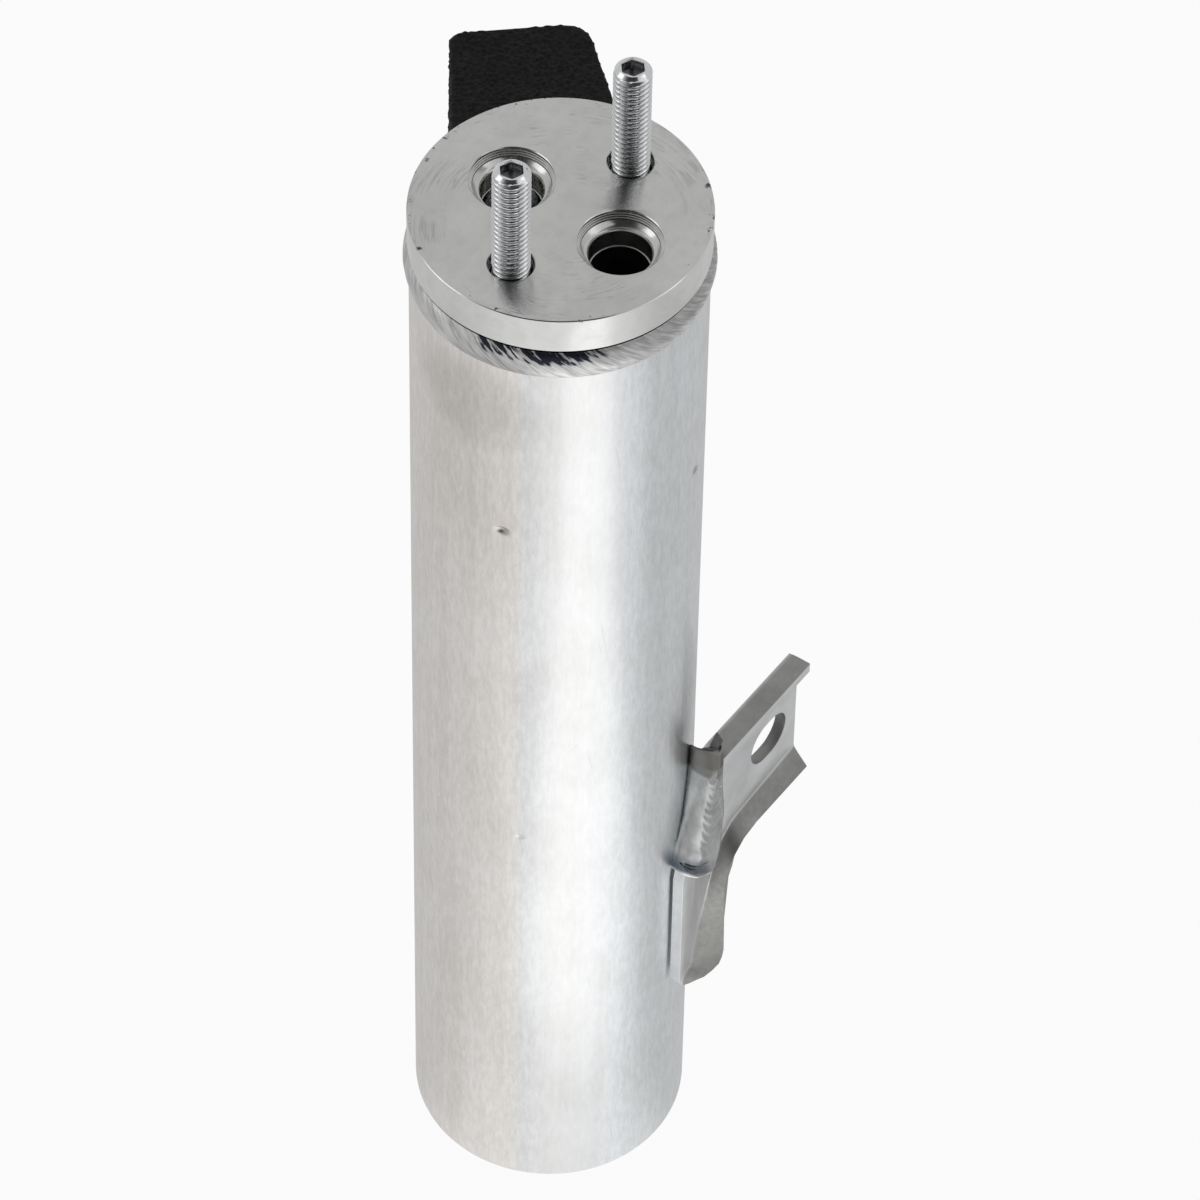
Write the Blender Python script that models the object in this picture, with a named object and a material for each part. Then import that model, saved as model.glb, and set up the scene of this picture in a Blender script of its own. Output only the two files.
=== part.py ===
"""Filter drier of a vehicle air conditioner: aluminium canister with a welded
header, two studs, a formed mounting bracket and a foam pad. Metres, Z up."""
import bpy
import bmesh
import math
import numpy as np
from mathutils import Vector

for old in list(bpy.data.objects):
    bpy.data.objects.remove(old, do_unlink=True)

MM = 0.001
GAP = 0.3 * MM          # clearance between two separate pieces

# canister
CAN_R = 22.5 * MM
CAN_WALL = 1.6 * MM
CAN_FLOOR = 3.0 * MM
CAN_FOOT = 2.0 * MM
BODY_H = 212.5 * MM     # floor to header face
STAKE_Z = BODY_H - 48.7 * MM
STAKE_TURN = -166.0     # degrees, first of the four stake dimples

# header and its closing weld
HEAD_RIM = 6.7 * MM
HEAD_LIP = 0.25 * MM
HEAD_CHAMFER = 0.25 * MM
SPIGOT = 9.8 * MM
WELD_H = 5.4 * MM
WELD_BULGE = 0.85 * MM

# pattern on the header face
PORT_MID = (0.04 * MM, -0.95 * MM)
PORT_SPACING = CAN_R * 0.907
PORT_TURN = 87.5
STUD_MID = (0.20 * MM, -1.78 * MM)
STUD_SPACING = CAN_R * 1.213
STUD_TURN = -4.4
PORT_RIM_R = 6.45 * MM
PORT_BORE_R = 4.72 * MM

# studs
STUD_R = 2.9 * MM
STUD_OUT = 19.9 * MM
STUD_IN = 11.5 * MM
STUD_HOLE_R = 3.52 * MM
HEX_AF = 3.1 * MM

# mounting bracket, measured along its arm and up the canister
SHEET = 2.0 * MM
ARM_END = 32.7 * MM
ARM_TOP = 95.3 * MM
ARM_LOW = 69.5 * MM
ARM_START = 6.7 * MM
PAD_NEAR = 1.7 * MM
PAD_FAR = 9.9 * MM
PAD_LOW = 40.6 * MM
PAD_HIGH = 68.0 * MM
FLARE = 3.0 * MM        # how far the lower edge is flared off the web
TOP_LIP = 2.4 * MM      # how far the top edge stands off the web
LIP_WRAP = 3.6 * MM     # how far the lip runs down round its corner
SLOT_MID = (25.0 * MM, 82.2 * MM)
SLOT_LONG = 9.6 * MM
SLOT_HIGH = 8.4 * MM

# foam pad
PAD_TURN = 42.3
FOAM_H = 39.0 * MM
FOAM_TOP = BODY_H - 13.5 * MM
FOAM_FAR = 51.1 * MM
FOAM_NEAR_HALF = 14.1 * MM
FOAM_FAR_HALF = 10.5 * MM
FOAM_SKEW = 0.7 * MM    # the far face is set off to one side
FILM = 0.35 * MM

# inside
TUBE_R = 3.6 * MM
TUBE_WALL = 0.8 * MM
RING_WIRE = 0.75 * MM
PLATE = 1.2 * MM
FELT = 5.0 * MM
BED_LOW = 61.0 * MM
SPRING_WIRE = 0.9 * MM
SKIRT = 0.9 * MM        # wall of the lower plate
SPRING_H = 13.5 * MM

CAN_IN = CAN_R - CAN_WALL
HEAD_R = CAN_R + HEAD_LIP
SHOULDER = BODY_H - HEAD_RIM
CAN_TOP = SHOULDER - WELD_H + 1.0 * MM
SPIGOT_END = SHOULDER - SPIGOT
WEB_BACK = CAN_R + GAP
WEB_FACE = WEB_BACK + SHEET
FIT = 0.35 * MM         # radial play of the inner pieces


def polar(radius, degrees, mid=(0.0, 0.0)):
    turn = math.radians(degrees)
    return (mid[0] + radius * math.cos(turn), mid[1] + radius * math.sin(turn))


OUTLET = polar(PORT_SPACING / 2, PORT_TURN, PORT_MID)
INLET = polar(-PORT_SPACING / 2, PORT_TURN, PORT_MID)
STUD_FRONT = polar(-STUD_SPACING / 2, STUD_TURN, STUD_MID)
STUD_REAR = polar(STUD_SPACING / 2, STUD_TURN, STUD_MID)


def material(name, colour, metallic, roughness):
    made = bpy.data.materials.new(name)
    made.use_nodes = True
    shader = made.node_tree.nodes["Principled BSDF"]
    shader.inputs["Base Color"].default_value = (*colour, 1.0)
    shader.inputs["Metallic"].default_value = metallic
    shader.inputs["Roughness"].default_value = roughness
    return made


def finish(bm, name, mat, smooth=True, angle=32.0):
    """Turn a bmesh into a named object with outward normals."""
    bmesh.ops.recalc_face_normals(bm, faces=bm.faces)
    mesh = bpy.data.meshes.new(name)
    bm.to_mesh(mesh)
    bm.free()
    if mat is not None:
        mesh.materials.append(mat)
    obj = bpy.data.objects.new(name, mesh)
    bpy.context.collection.objects.link(obj)
    if smooth:
        mesh.shade_smooth()
        mesh.set_sharp_from_angle(angle=math.radians(angle))
    return obj


def spin(bm, profile, centre=(0.0, 0.0), segments=64, closed=False):
    """Turned solid from (radius, height) points; closed makes a ring."""
    rings = []
    for radius, height in profile:
        if radius <= 0.0:
            rings.append([bm.verts.new((centre[0], centre[1], height))])
            continue
        ring = []
        for k in range(segments):
            x, y = polar(radius, 360.0 * k / segments, centre)
            ring.append(bm.verts.new((x, y, height)))
        rings.append(ring)
    count = len(rings)
    for i in range(count if closed else count - 1):
        low = rings[i]
        high = rings[(i + 1) % count]
        for k in range(segments):
            n = (k + 1) % segments
            if len(low) == 1:
                bm.faces.new((low[0], high[n], high[k]))
            elif len(high) == 1:
                bm.faces.new((low[k], low[n], high[0]))
            else:
                bm.faces.new((low[k], low[n], high[n], high[k]))


def turned(name, profile, mat, centre=(0.0, 0.0), segments=64, closed=False, angle=32.0):
    bm = bmesh.new()
    spin(bm, profile, centre, segments, closed)
    return finish(bm, name, mat, angle=angle)


def as_cutter(obj):
    obj.hide_render = True
    obj.display_type = "WIRE"
    return obj


def cut(obj, cutter, operation="DIFFERENCE"):
    mod = obj.modifiers.new("cut", "BOOLEAN")
    mod.operation = operation
    mod.solver = "EXACT"
    mod.object = cutter


def arc(radius, mid, start, end, steps):
    """Points of an arc in the (radius, height) plane."""
    points = []
    for k in range(steps + 1):
        turn = math.radians(start + (end - start) * k / steps)
        points.append((mid[0] + radius * math.cos(turn), mid[1] + radius * math.sin(turn)))
    return points


def blob(bm, centre, axes, segments=12, rings=7):
    """Ellipsoid standing on three given half axes."""
    across, deep, up = axes
    rows = []
    for i in range(rings + 1):
        lat = math.pi * i / rings - math.pi / 2
        if i in (0, rings):
            rows.append([bm.verts.new(centre + up * math.sin(lat))])
            continue
        row = []
        for k in range(segments):
            lon = 2 * math.pi * k / segments
            side = across * math.cos(lon) + deep * math.sin(lon)
            row.append(bm.verts.new(centre + side * math.cos(lat) + up * math.sin(lat)))
        rows.append(row)
    for i in range(rings):
        for k in range(segments):
            n = (k + 1) % segments
            if len(rows[i]) == 1:
                bm.faces.new((rows[i][0], rows[i + 1][n], rows[i + 1][k]))
            elif len(rows[i + 1]) == 1:
                bm.faces.new((rows[i][k], rows[i][n], rows[i + 1][0]))
            else:
                bm.faces.new((rows[i][k], rows[i][n], rows[i + 1][n], rows[i + 1][k]))


def canister(mat):
    """Extruded cup; four stakes are punched into the wall over the retainer."""
    foot_in = CAN_FOOT + 0.5 * MM
    profile = [(0.0, 0.0)]
    profile += arc(CAN_FOOT, (CAN_R - CAN_FOOT, CAN_FOOT), -90, 0, 4)
    profile += [(CAN_R, CAN_TOP), (CAN_IN, CAN_TOP)]
    profile += arc(foot_in, (CAN_IN - foot_in, CAN_FLOOR + foot_in), 0, -90, 3)
    profile += [(0.0, CAN_FLOOR)]
    cup = turned("canister", profile, mat, segments=64)
    dents = bmesh.new()
    bumps = bmesh.new()
    for k in range(4):
        turn = math.radians(STAKE_TURN + 90.0 * k)
        out = Vector((math.cos(turn), math.sin(turn), 0.0))
        along = Vector((-math.sin(turn), math.cos(turn), 0.0))
        up = Vector((0.0, 0.0, 1.0))
        spot = Vector((0.0, 0.0, STAKE_Z))
        deep = CAN_WALL * 0.5
        blob(dents, spot + out * CAN_R, (along * 1.6 * MM, out * deep, up * 1.1 * MM))
        blob(bumps, spot + out * CAN_IN, (along * 2.0 * MM, out * deep, up * 1.4 * MM))
    cut(cup, as_cutter(finish(bumps, "stake_bumps", None)), "UNION")
    cut(cup, as_cutter(finish(dents, "stake_dents", None)))
    return cup


def port_cutter(bm, centre, socket):
    """Stepped sealing seat of a port, with the bore and, below, the tube socket."""
    profile = [(0.0, BODY_H + 2.0 * MM), (PORT_RIM_R, BODY_H + 2.0 * MM)]
    profile += [(PORT_RIM_R, BODY_H - 0.15 * MM)]
    profile += [(PORT_RIM_R - 0.35 * MM, BODY_H - 1.5 * MM)]
    profile += [(PORT_RIM_R - 1.0 * MM, BODY_H - 1.95 * MM)]
    profile += [(PORT_BORE_R + 0.15 * MM, BODY_H - 2.35 * MM)]
    profile += [(PORT_BORE_R, BODY_H - 2.6 * MM)]
    profile += [(PORT_BORE_R, BODY_H - 5.6 * MM)]
    profile += [(PORT_BORE_R - 0.2 * MM, BODY_H - 5.7 * MM)]
    if socket > 0.0:
        floor = SPIGOT_END + 7.0 * MM
        profile += [(PORT_BORE_R - 0.2 * MM, floor), (socket, floor)]
        profile += [(socket, SPIGOT_END - 2.0 * MM), (0.0, SPIGOT_END - 2.0 * MM)]
    else:
        profile += [(PORT_BORE_R - 0.2 * MM, SPIGOT_END - 2.0 * MM)]
        profile += [(0.0, SPIGOT_END - 2.0 * MM)]
    spin(bm, profile, centre, 32)


def stud_hole(bm, centre):
    snug = STUD_R + GAP
    low = BODY_H - STUD_IN - GAP
    profile = [(0.0, BODY_H + 2.0 * MM), (STUD_HOLE_R, BODY_H + 2.0 * MM)]
    profile += [(STUD_HOLE_R, BODY_H - 1.5 * MM), (snug, BODY_H - 1.8 * MM)]
    profile += [(snug, low), (0.0, low - 0.8 * MM)]
    spin(bm, profile, centre, 20)


def header(mat):
    spigot_r = CAN_IN - GAP
    profile = [(0.0, BODY_H), (HEAD_R - HEAD_CHAMFER, BODY_H)]
    profile += [(HEAD_R, BODY_H - HEAD_CHAMFER), (HEAD_R, SHOULDER)]
    profile += [(spigot_r, SHOULDER), (spigot_r, SPIGOT_END + 0.6 * MM)]
    profile += [(spigot_r - 0.6 * MM, SPIGOT_END), (0.0, SPIGOT_END)]
    disc = turned("header", profile, mat, segments=64)
    bm = bmesh.new()
    port_cutter(bm, OUTLET, TUBE_R + 2 * GAP + 2 * RING_WIRE)
    port_cutter(bm, INLET, 0.0)
    stud_hole(bm, STUD_FRONT)
    stud_hole(bm, STUD_REAR)
    cut(disc, as_cutter(finish(bm, "header_cuts", None)))
    return disc


def rim_weld(mat):
    """Closing bead: fills the groove and laps over the canister's edge."""
    inner = CAN_IN + 0.05 * MM
    lap = CAN_R + GAP
    low = SHOULDER - WELD_H - GAP
    high = SHOULDER - GAP
    seat = CAN_TOP + GAP
    profile = [(inner, seat), (lap, seat), (lap, low + 0.1 * MM), (lap + 0.1 * MM, low)]
    for k in range(1, 4):
        t = k / 4.0
        bulge = 0.1 * MM + (WELD_BULGE - GAP) * math.sin(math.pi * t) ** 0.7
        profile.append((lap + bulge, low + (high - low) * t))
    profile += [(lap + 0.05 * MM, high), (inner, high)]
    return turned("rim_weld", profile, mat, segments=64, closed=True, angle=50)


def stud(name, centre, mat):
    top = BODY_H + STUD_OUT
    low = BODY_H - STUD_IN
    profile = [(0.0, low), (STUD_R - 0.5 * MM, low), (STUD_R, low + 0.5 * MM)]
    profile += [(STUD_R, top - 0.8 * MM), (STUD_R - 0.75 * MM, top), (0.0, top)]
    pin = turned(name, profile, mat, centre, 28)
    bm = bmesh.new()
    rows = []
    levels = [(top + 0.5 * MM, 0.0), (top, 0.0), (top - 0.3 * MM, 1.0), (top - 3.0 * MM, 1.0)]
    for level, hexed in levels:
        row = []
        for k in range(12):
            corner = HEX_AF / math.sqrt(3.0)
            flat = HEX_AF / 2.0
            radius = corner if k % 2 == 0 else flat
            radius = radius if hexed else corner + 0.12 * MM
            x, y = polar(radius, 30.0 * k, centre)
            row.append(bm.verts.new((x, y, level)))
        rows.append(row)
    for i in range(3):
        for k in range(12):
            n = (k + 1) % 12
            bm.faces.new((rows[i][k], rows[i][n], rows[i + 1][n], rows[i + 1][k]))
    bm.faces.new(rows[0])
    tip = bm.verts.new((centre[0], centre[1], top - 3.8 * MM))
    for k in range(12):
        bm.faces.new((rows[3][(k + 1) % 12], rows[3][k], tip))
    cut(pin, as_cutter(finish(bm, name + "_socket", None, smooth=False)))
    return pin


def rounded_path(corners, radii, steps):
    """Open path through corners, each inner one turned into an arc."""
    points = [Vector(corners[0])]
    for i in range(1, len(corners) - 1):
        here = Vector(corners[i])
        back = (Vector(corners[i - 1]) - here)
        ahead = (Vector(corners[i + 1]) - here)
        reach = min(radii[i - 1], back.length * 0.48, ahead.length * 0.48)
        start = here + back.normalized() * reach
        end = here + ahead.normalized() * reach
        points.append((points[-1] + start) / 2)
        for k in range(steps + 1):
            t = k / steps
            points.append(start * (1 - t) ** 2 + here * 2 * t * (1 - t) + end * t ** 2)
    points.append((points[-1] + Vector(corners[-1])) / 2)
    points.append(Vector(corners[-1]))
    return points


def flare_edge():
    """Cut edge of the flared lower flange, in (along, up)."""
    corners = [(ARM_END, ARM_LOW), (PAD_FAR, ARM_LOW), (PAD_FAR, PAD_LOW)]
    corners += [(PAD_NEAR, PAD_LOW), (PAD_NEAR, PAD_LOW + 3.2 * MM)]
    return rounded_path(corners, [8.4 * MM, 4.6 * MM, 2.4 * MM], 4)


def flare_fold(edge):
    """Where the flare leaves the flat web, and its full standoff there.

    Each row: station on the edge, shift along, shift up, share of FLARE."""
    rows = [(0, 0.0, 4.0, 0.94), (1, 0.2, 3.1, 0.94), (2, 0.2, 2.4, 0.94), (3, 0.4, 2.5, 0.97)]
    rows += [(4, 0.3, 1.6, 1.0), (5, 0.3, 0.6, 0.94), (6, -1.0, -0.3, 0.88), (7, -4.0, 0.0, 0.94)]
    rows += [(8, -5.7, 1.6, 1.0), (10, -5.3, 2.7, 0.94), (12, -2.3, 3.4, 0.67)]
    rows += [(13, -1.5, 3.3, 0.45), (14, -0.6, 3.2, 0.25), (16, 0.1, 2.7, 0.0)]
    rows += [(18, 0.1, 1.6, 0.0), (20, 0.0, 0.4, 0.0)]
    table = np.array(rows)
    unit = FLARE / 3.0
    fold = []
    height = []
    for k, point in enumerate(edge):
        along = np.interp(k, table[:, 0], table[:, 1]) * unit
        up = np.interp(k, table[:, 0], table[:, 2]) * unit
        fold.append(point + Vector((along, up)))
        height.append(FLARE * float(np.interp(k, table[:, 0], table[:, 3])))
    return fold, height


def root_line():
    """Sloping edge of the sheet from the pad up to where the lip begins."""
    rise = ARM_TOP - SHEET - GAP - LIP_WRAP - PAD_HIGH
    run = ARM_START - PAD_NEAR
    shares = [(0.0, 0.0), (0.2, 0.19), (0.42, 0.37), (0.74, 0.57), (0.97, 0.74), (1.0, 0.94)]
    return [Vector((PAD_NEAR + run * a, PAD_HIGH + rise * b)) for a, b in shares]


def on_web(point, off):
    return (point[0], -(WEB_FACE + off), point[1])


def sheet_point(bm, backs, point, off, lean, turn):
    """Vertex on the outer face; its back lies one sheet away, leaned by turn."""
    vert = bm.verts.new(on_web(point, off))
    into = Vector((lean[0] * math.sin(turn), math.cos(turn), lean[1] * math.sin(turn)))
    backs[vert] = into * SHEET
    return vert


def thicken(bm, backs):
    """Give the open face its back side and its cut edges."""
    faces = list(bm.faces)
    rim = [e for e in bm.edges if e.is_boundary]
    twin = {vert: bm.verts.new(vert.co + back) for vert, back in backs.items()}
    for face in faces:
        bm.faces.new([twin[v] for v in reversed(face.verts)])
    for edge in rim:
        loop = edge.link_loops[0]
        a = loop.vert
        b = loop.link_loop_next.vert
        bm.faces.new((b, a, twin[a], twin[b]))


def slot_outline():
    """Slot from its far end over the top to its near end and back below."""
    radius = SLOT_HIGH / 2
    half = SLOT_LONG / 2 - radius
    points = []
    for k in range(17):
        turn = math.radians(180.0 * k / 16)
        shift = half if k < 8 else (-half if k > 8 else 0.0)
        points.append((SLOT_MID[0] + shift + radius * math.cos(turn), radius * math.sin(turn)))
    upper = [(x, SLOT_MID[1] + z) for x, z in points]
    lower = [(x, SLOT_MID[1] - z) for x, z in points[1:-1]]
    return upper, lower


def flare_grid(bm, backs):
    """Flared lower flange, lofted from the fold line to the cut edge."""
    edge = flare_edge()
    fold, height = flare_fold(edge)
    last = len(edge) - 1
    bend = 0.36
    full = 1.0 - bend / 2
    grid = []
    for slide in (0.0, 0.12, 0.24, bend, 1.0):
        lift = slide ** 2 / (2 * bend) if slide < bend else slide - bend / 2
        slope = min(1.0, slide / bend) / full
        row = []
        for k, end in enumerate(edge):
            run = edge[min(k + 1, last)] - edge[max(k - 1, 0)]
            lean = Vector((-run[1], run[0])).normalized()
            turn = math.atan2(height[k] * slope, (end - fold[k]).length)
            spot = fold[k] + (end - fold[k]) * slide
            row.append(sheet_point(bm, backs, spot, height[k] * lift / full, lean, turn))
        grid.append(row)
    for i in range(len(grid) - 1):
        for k in range(last):
            bm.faces.new((grid[i][k], grid[i][k + 1], grid[i + 1][k + 1], grid[i + 1][k]))
    return grid[0]


def lip_path():
    """Bend line of the lip: up the near side, round its corner, along the top."""
    high = ARM_TOP - SHEET - GAP
    near = ARM_START + SHEET
    corners = [(near, high - LIP_WRAP), (near, high), (ARM_END, high)]
    path = rounded_path(corners, [1.2 * MM], 4)
    last = path.pop()
    for k in range(1, 4):
        path.append(path[-1].lerp(last, 1.0 / (5 - k)))
    return path + [last]


def lip_grid(bm, backs):
    """Top edge bent tight to a short lip, which wraps down at the near corner."""
    path = lip_path()
    last = len(path) - 1
    steps = 4
    lip = [[] for _ in range(steps + 2)]
    for k, spot in enumerate(path):
        run = path[min(k + 1, last)] - path[max(k - 1, 0)]
        lean = Vector((-run[1], run[0])).normalized()
        for i in range(steps + 1):
            turn = math.radians(90.0 * i / steps)
            place = spot + lean * GAP * math.sin(turn)
            vert = sheet_point(bm, backs, place, GAP * (1 - math.cos(turn)), lean, turn)
            square = max(math.cos(turn), math.sin(turn) * max(abs(lean[0]), abs(lean[1])))
            backs[vert] *= (1.0 / square) ** 0.75
            lip[i].append(vert)
        share = min(1.0, 0.72 + 0.1 * k) - 0.1 * max(0.0, k / last - 0.6)
        out = TOP_LIP * share
        vert = sheet_point(bm, backs, spot + lean * GAP, out, lean, math.pi / 2)
        backs[vert] *= (1.0 / max(abs(lean[0]), abs(lean[1]))) ** 0.75
        lip[-1].append(vert)
    for i in range(steps + 1):
        for k in range(last):
            bm.faces.new((lip[i][k], lip[i + 1][k], lip[i + 1][k + 1], lip[i][k + 1]))
    return lip[0]


def mounting_bracket(mat):
    """Pad and arm pressed from one sheet: flat slotted web, flared lower
    flange and bent top lip, all of one thickness."""
    bm = bmesh.new()
    backs = {}
    flat = (0.0, 1.0)
    fold = flare_grid(bm, backs)
    root = [sheet_point(bm, backs, p, 0.0, flat, 0.0) for p in root_line()]
    top = lip_grid(bm, backs)
    end = sheet_point(bm, backs, (ARM_END, SLOT_MID[1]), 0.0, flat, 0.0)
    upper, lower = slot_outline()
    over = [sheet_point(bm, backs, p, 0.0, flat, 0.0) for p in upper]
    under = [sheet_point(bm, backs, p, 0.0, flat, 0.0) for p in lower]
    bm.faces.new(over + root[3:] + top + [end])
    bm.faces.new([over[0]] + under + [over[-1]] + root[3::-1] + fold[::-1] + [end])
    bmesh.ops.recalc_face_normals(bm, faces=bm.faces)
    thicken(bm, backs)
    return finish(bm, "mounting_bracket", mat, angle=40)


def bead_row(root, left_z, right, tall):
    """One section of the bead, from the canister's skin to the web's face."""
    alongs = [p[0] for p in root]
    heights = [p[1] for p in root]
    left = Vector((np.interp(left_z, heights, alongs) - 1.0 * MM, left_z))
    share = 0.0
    for step in range(1, 100):
        spot = left.lerp(right, step / 100)
        if spot[0] > np.interp(spot[1], heights, alongs) - GAP - 0.15 * MM:
            break
        share = step / 100
    skin = CAN_R + GAP + 0.05 * MM
    low = []
    for t in (0.0, 0.5 * share, share):
        spot = left.lerp(right, t)
        low.append((spot, math.sqrt(skin ** 2 - spot[0] ** 2) - WEB_FACE))
    for t in (share, (1 + share) / 2, 1.0):
        low.append((left.lerp(right, t), GAP))
    floor = low[0][1]
    top = []
    rest = 0.88 - share
    steps = [(0.0, 0.0), (0.4 * share, 0.5), (share, 0.8), (share + 0.3 * rest, 0.92)]
    for t, lift in steps + [(share + 0.65 * rest, 0.99), (0.88, 1.0)]:
        top.append((left.lerp(right, t), floor + 0.25 * MM + (tall - 0.25 * MM - floor) * lift))
    top.append((right, GAP + 0.45 * (tall - GAP)))
    return top + low[::-1]


def bracket_weld(mat):
    """Bead over the root of the bracket: it rides on the web's face and drops
    past the sheet's sloping edge onto the canister."""
    root = root_line()
    rise = root[-1][1] - PAD_HIGH
    run = ARM_START - PAD_NEAR
    # rows from the top down: left height, right end, height of the crown in mm
    rows = [(1.02, 1.60, 0.98, 1.3), (0.905, 1.68, 0.86, 1.8), (0.766, 1.78, 0.67, 2.1)]
    rows += [(0.612, 1.76, 0.473, 2.2), (0.473, 1.64, 0.294, 2.2), (0.338, 1.5, 0.124, 2.1)]
    rows += [(0.229, 1.28, 0.0, 1.8), (0.149, 0.96, -0.085, 1.3)]
    bm = bmesh.new()
    loops = []
    for near, far, level, crown in rows:
        right = Vector((PAD_NEAR + run * far, PAD_HIGH + rise * level))
        ring = bead_row(root, PAD_HIGH + rise * near, right, crown * MM)
        loops.append([bm.verts.new(on_web(spot, off)) for spot, off in ring])
    count = len(loops[0])
    for i in range(len(loops) - 1):
        for k in range(count):
            n = (k + 1) % count
            bm.faces.new((loops[i][k], loops[i][n], loops[i + 1][n], loops[i + 1][k]))
    # the ends are stepped like the bead's section, so they are closed by a fan
    ends = [(0, 1, 12), (1, 11, 12), (1, 10, 11), (1, 9, 10), (1, 2, 9), (2, 3, 9)]
    ends += [(3, 8, 9), (3, 4, 8), (4, 5, 8), (5, 7, 8), (5, 6, 7)]
    for loop in (loops[0], loops[-1]):
        for a, b, c in ends:
            bm.faces.new((loop[a], loop[b], loop[c]))
    bmesh.ops.triangulate(bm, faces=bm.faces)
    return finish(bm, "bracket_weld", mat, angle=55)


def foam_outline():
    """Block outline in (across, out from the axis)."""
    near = math.sqrt(CAN_R ** 2 - FOAM_NEAR_HALF ** 2)
    left = [(-FOAM_NEAR_HALF, near + 1.5 * MM), (-FOAM_FAR_HALF - FOAM_SKEW, FOAM_FAR)]
    right = [(FOAM_FAR_HALF - FOAM_SKEW, FOAM_FAR), (FOAM_NEAR_HALF, near + 1.5 * MM)]
    return rounded_path(left + right, [2.0 * MM, 4.6 * MM], 5)


def foam_pad(mat):
    outer = foam_outline()
    skin = CAN_R + 2 * GAP + FILM
    start = math.asin(min(0.95, outer[-1][0] / skin))
    inner = []
    for k in range(15):
        turn = start - 2 * start * k / 14
        inner.append(Vector((skin * math.sin(turn), skin * math.cos(turn))))
    outline = outer[1:-1]
    outline = [Vector((-FOAM_NEAR_HALF, inner[-1][1] + 0.2 * MM))] + outline
    outline += [Vector((FOAM_NEAR_HALF, inner[0][1] + 0.2 * MM))] + inner
    bm = bmesh.new()
    turn = math.radians(PAD_TURN)
    out = Vector((math.cos(turn), math.sin(turn), 0.0))
    side = Vector((math.sin(turn), -math.cos(turn), 0.0))
    rings = []
    levels = [(FOAM_TOP - FOAM_H, 0.985), (FOAM_TOP - FOAM_H + 1.2 * MM, 1.0)]
    levels += [(FOAM_TOP - 0.8 * MM, 1.0), (FOAM_TOP, 0.985)]
    for level, grow in levels:
        ring = []
        for p in outline:
            far = p[1] if p[1] < skin + 1.5 * MM else skin + (p[1] - skin) * grow
            spot = side * (p[0] * grow) + out * far
            short = skin - spot.length
            if short > 0:
                spot = spot.normalized() * skin
            ring.append(bm.verts.new((spot.x, spot.y, level)))
        rings.append(ring)
    count = len(outline)
    for i in range(3):
        for k in range(count):
            n = (k + 1) % count
            bm.faces.new((rings[i][k], rings[i][n], rings[i + 1][n], rings[i + 1][k]))
    bm.faces.new(rings[0])
    bm.faces.new(rings[-1])
    return finish(bm, "foam_pad", mat, angle=40)


def foam_adhesive(mat):
    """Thin film between the canister and the foam."""
    bm = bmesh.new()
    inner = CAN_R + GAP
    half = math.degrees(math.asin(FOAM_NEAR_HALF / CAN_R)) - 2.5
    columns = []
    for k in range(13):
        turn = PAD_TURN - half + 2 * half * k / 12
        column = []
        for radius, level in ((inner, 0), (inner + FILM, 0), (inner + FILM, 1), (inner, 1)):
            x, y = polar(radius, turn)
            z = FOAM_TOP - 1.5 * MM if level else FOAM_TOP - FOAM_H + 1.5 * MM
            column.append(bm.verts.new((x, y, z)))
        columns.append(column)
    for k in range(12):
        for i in range(4):
            n = (i + 1) % 4
            bm.faces.new((columns[k][i], columns[k][n], columns[k + 1][n], columns[k + 1][i]))
    bm.faces.new(columns[0])
    bm.faces.new(columns[-1])
    return finish(bm, "foam_adhesive", mat, angle=40)


def hole_cutter(name, spots, low, high, segments=8):
    bm = bmesh.new()
    for centre, radius in spots:
        spin(bm, [(0.0, high), (radius, high), (radius, low), (0.0, low)], centre, segments)
    return as_cutter(finish(bm, name, None, smooth=False))


def tube_hole():
    return [(OUTLET, TUBE_R + FIT)]


def perforations():
    spots = []
    ring = CAN_IN - 4.6 * MM
    for k in range(8):
        spots.append((polar(ring, 45.0 * k + 22.5), 1.9 * MM))
    for k in range(3):
        spots.append((polar(7.5 * MM, PORT_TURN + 180.0 + 60.0 * (k - 1)), 1.9 * MM))
    return spots


def disc(name, low, thick, mat, holes, sides=8):
    radius = CAN_IN - FIT
    profile = [(0.0, low), (radius, low), (radius, low + thick), (0.0, low + thick)]
    plate = turned(name, profile, mat, segments=40)
    cut(plate, hole_cutter(name + "_holes", tube_hole(), low - MM, low + thick + MM, 16))
    if holes:
        cut(plate, hole_cutter(name + "_mesh", holes, low - MM, low + thick + MM, sides))
    return plate


RETAINER_TOP = STAKE_Z - 1.4 * MM - GAP
SPRING_TOP = RETAINER_TOP - PLATE - GAP
UPPER_TOP = SPRING_TOP - SPRING_H - GAP
UPPER_FELT_TOP = UPPER_TOP - PLATE - GAP
BED_TOP = UPPER_FELT_TOP - FELT - GAP
LOWER_FELT_TOP = BED_LOW - GAP
LOWER_TOP = LOWER_FELT_TOP - FELT - GAP
CAGE_LOW = CAN_FLOOR + GAP + 0.4 * MM
CAGE_TOP = CAGE_LOW + 0.55 * (LOWER_TOP - PLATE - CAGE_LOW)
TOE = CAN_FOOT + 1.0 * MM
CAGE_R = min(2.1 * TUBE_R, CAN_IN - FIT - SKIRT - TOE - math.hypot(*OUTLET))
CAGE_WALL = CAGE_R * 0.12


def pickup_tube(mat):
    top = SPIGOT_END + 6.0 * MM
    low = CAGE_LOW + 7.0 * MM
    inner = TUBE_R - TUBE_WALL
    profile = [(TUBE_R, low), (TUBE_R, top), (inner, top), (inner, low)]
    return turned("pickup_tube", profile, mat, OUTLET, 24, closed=True)


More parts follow.
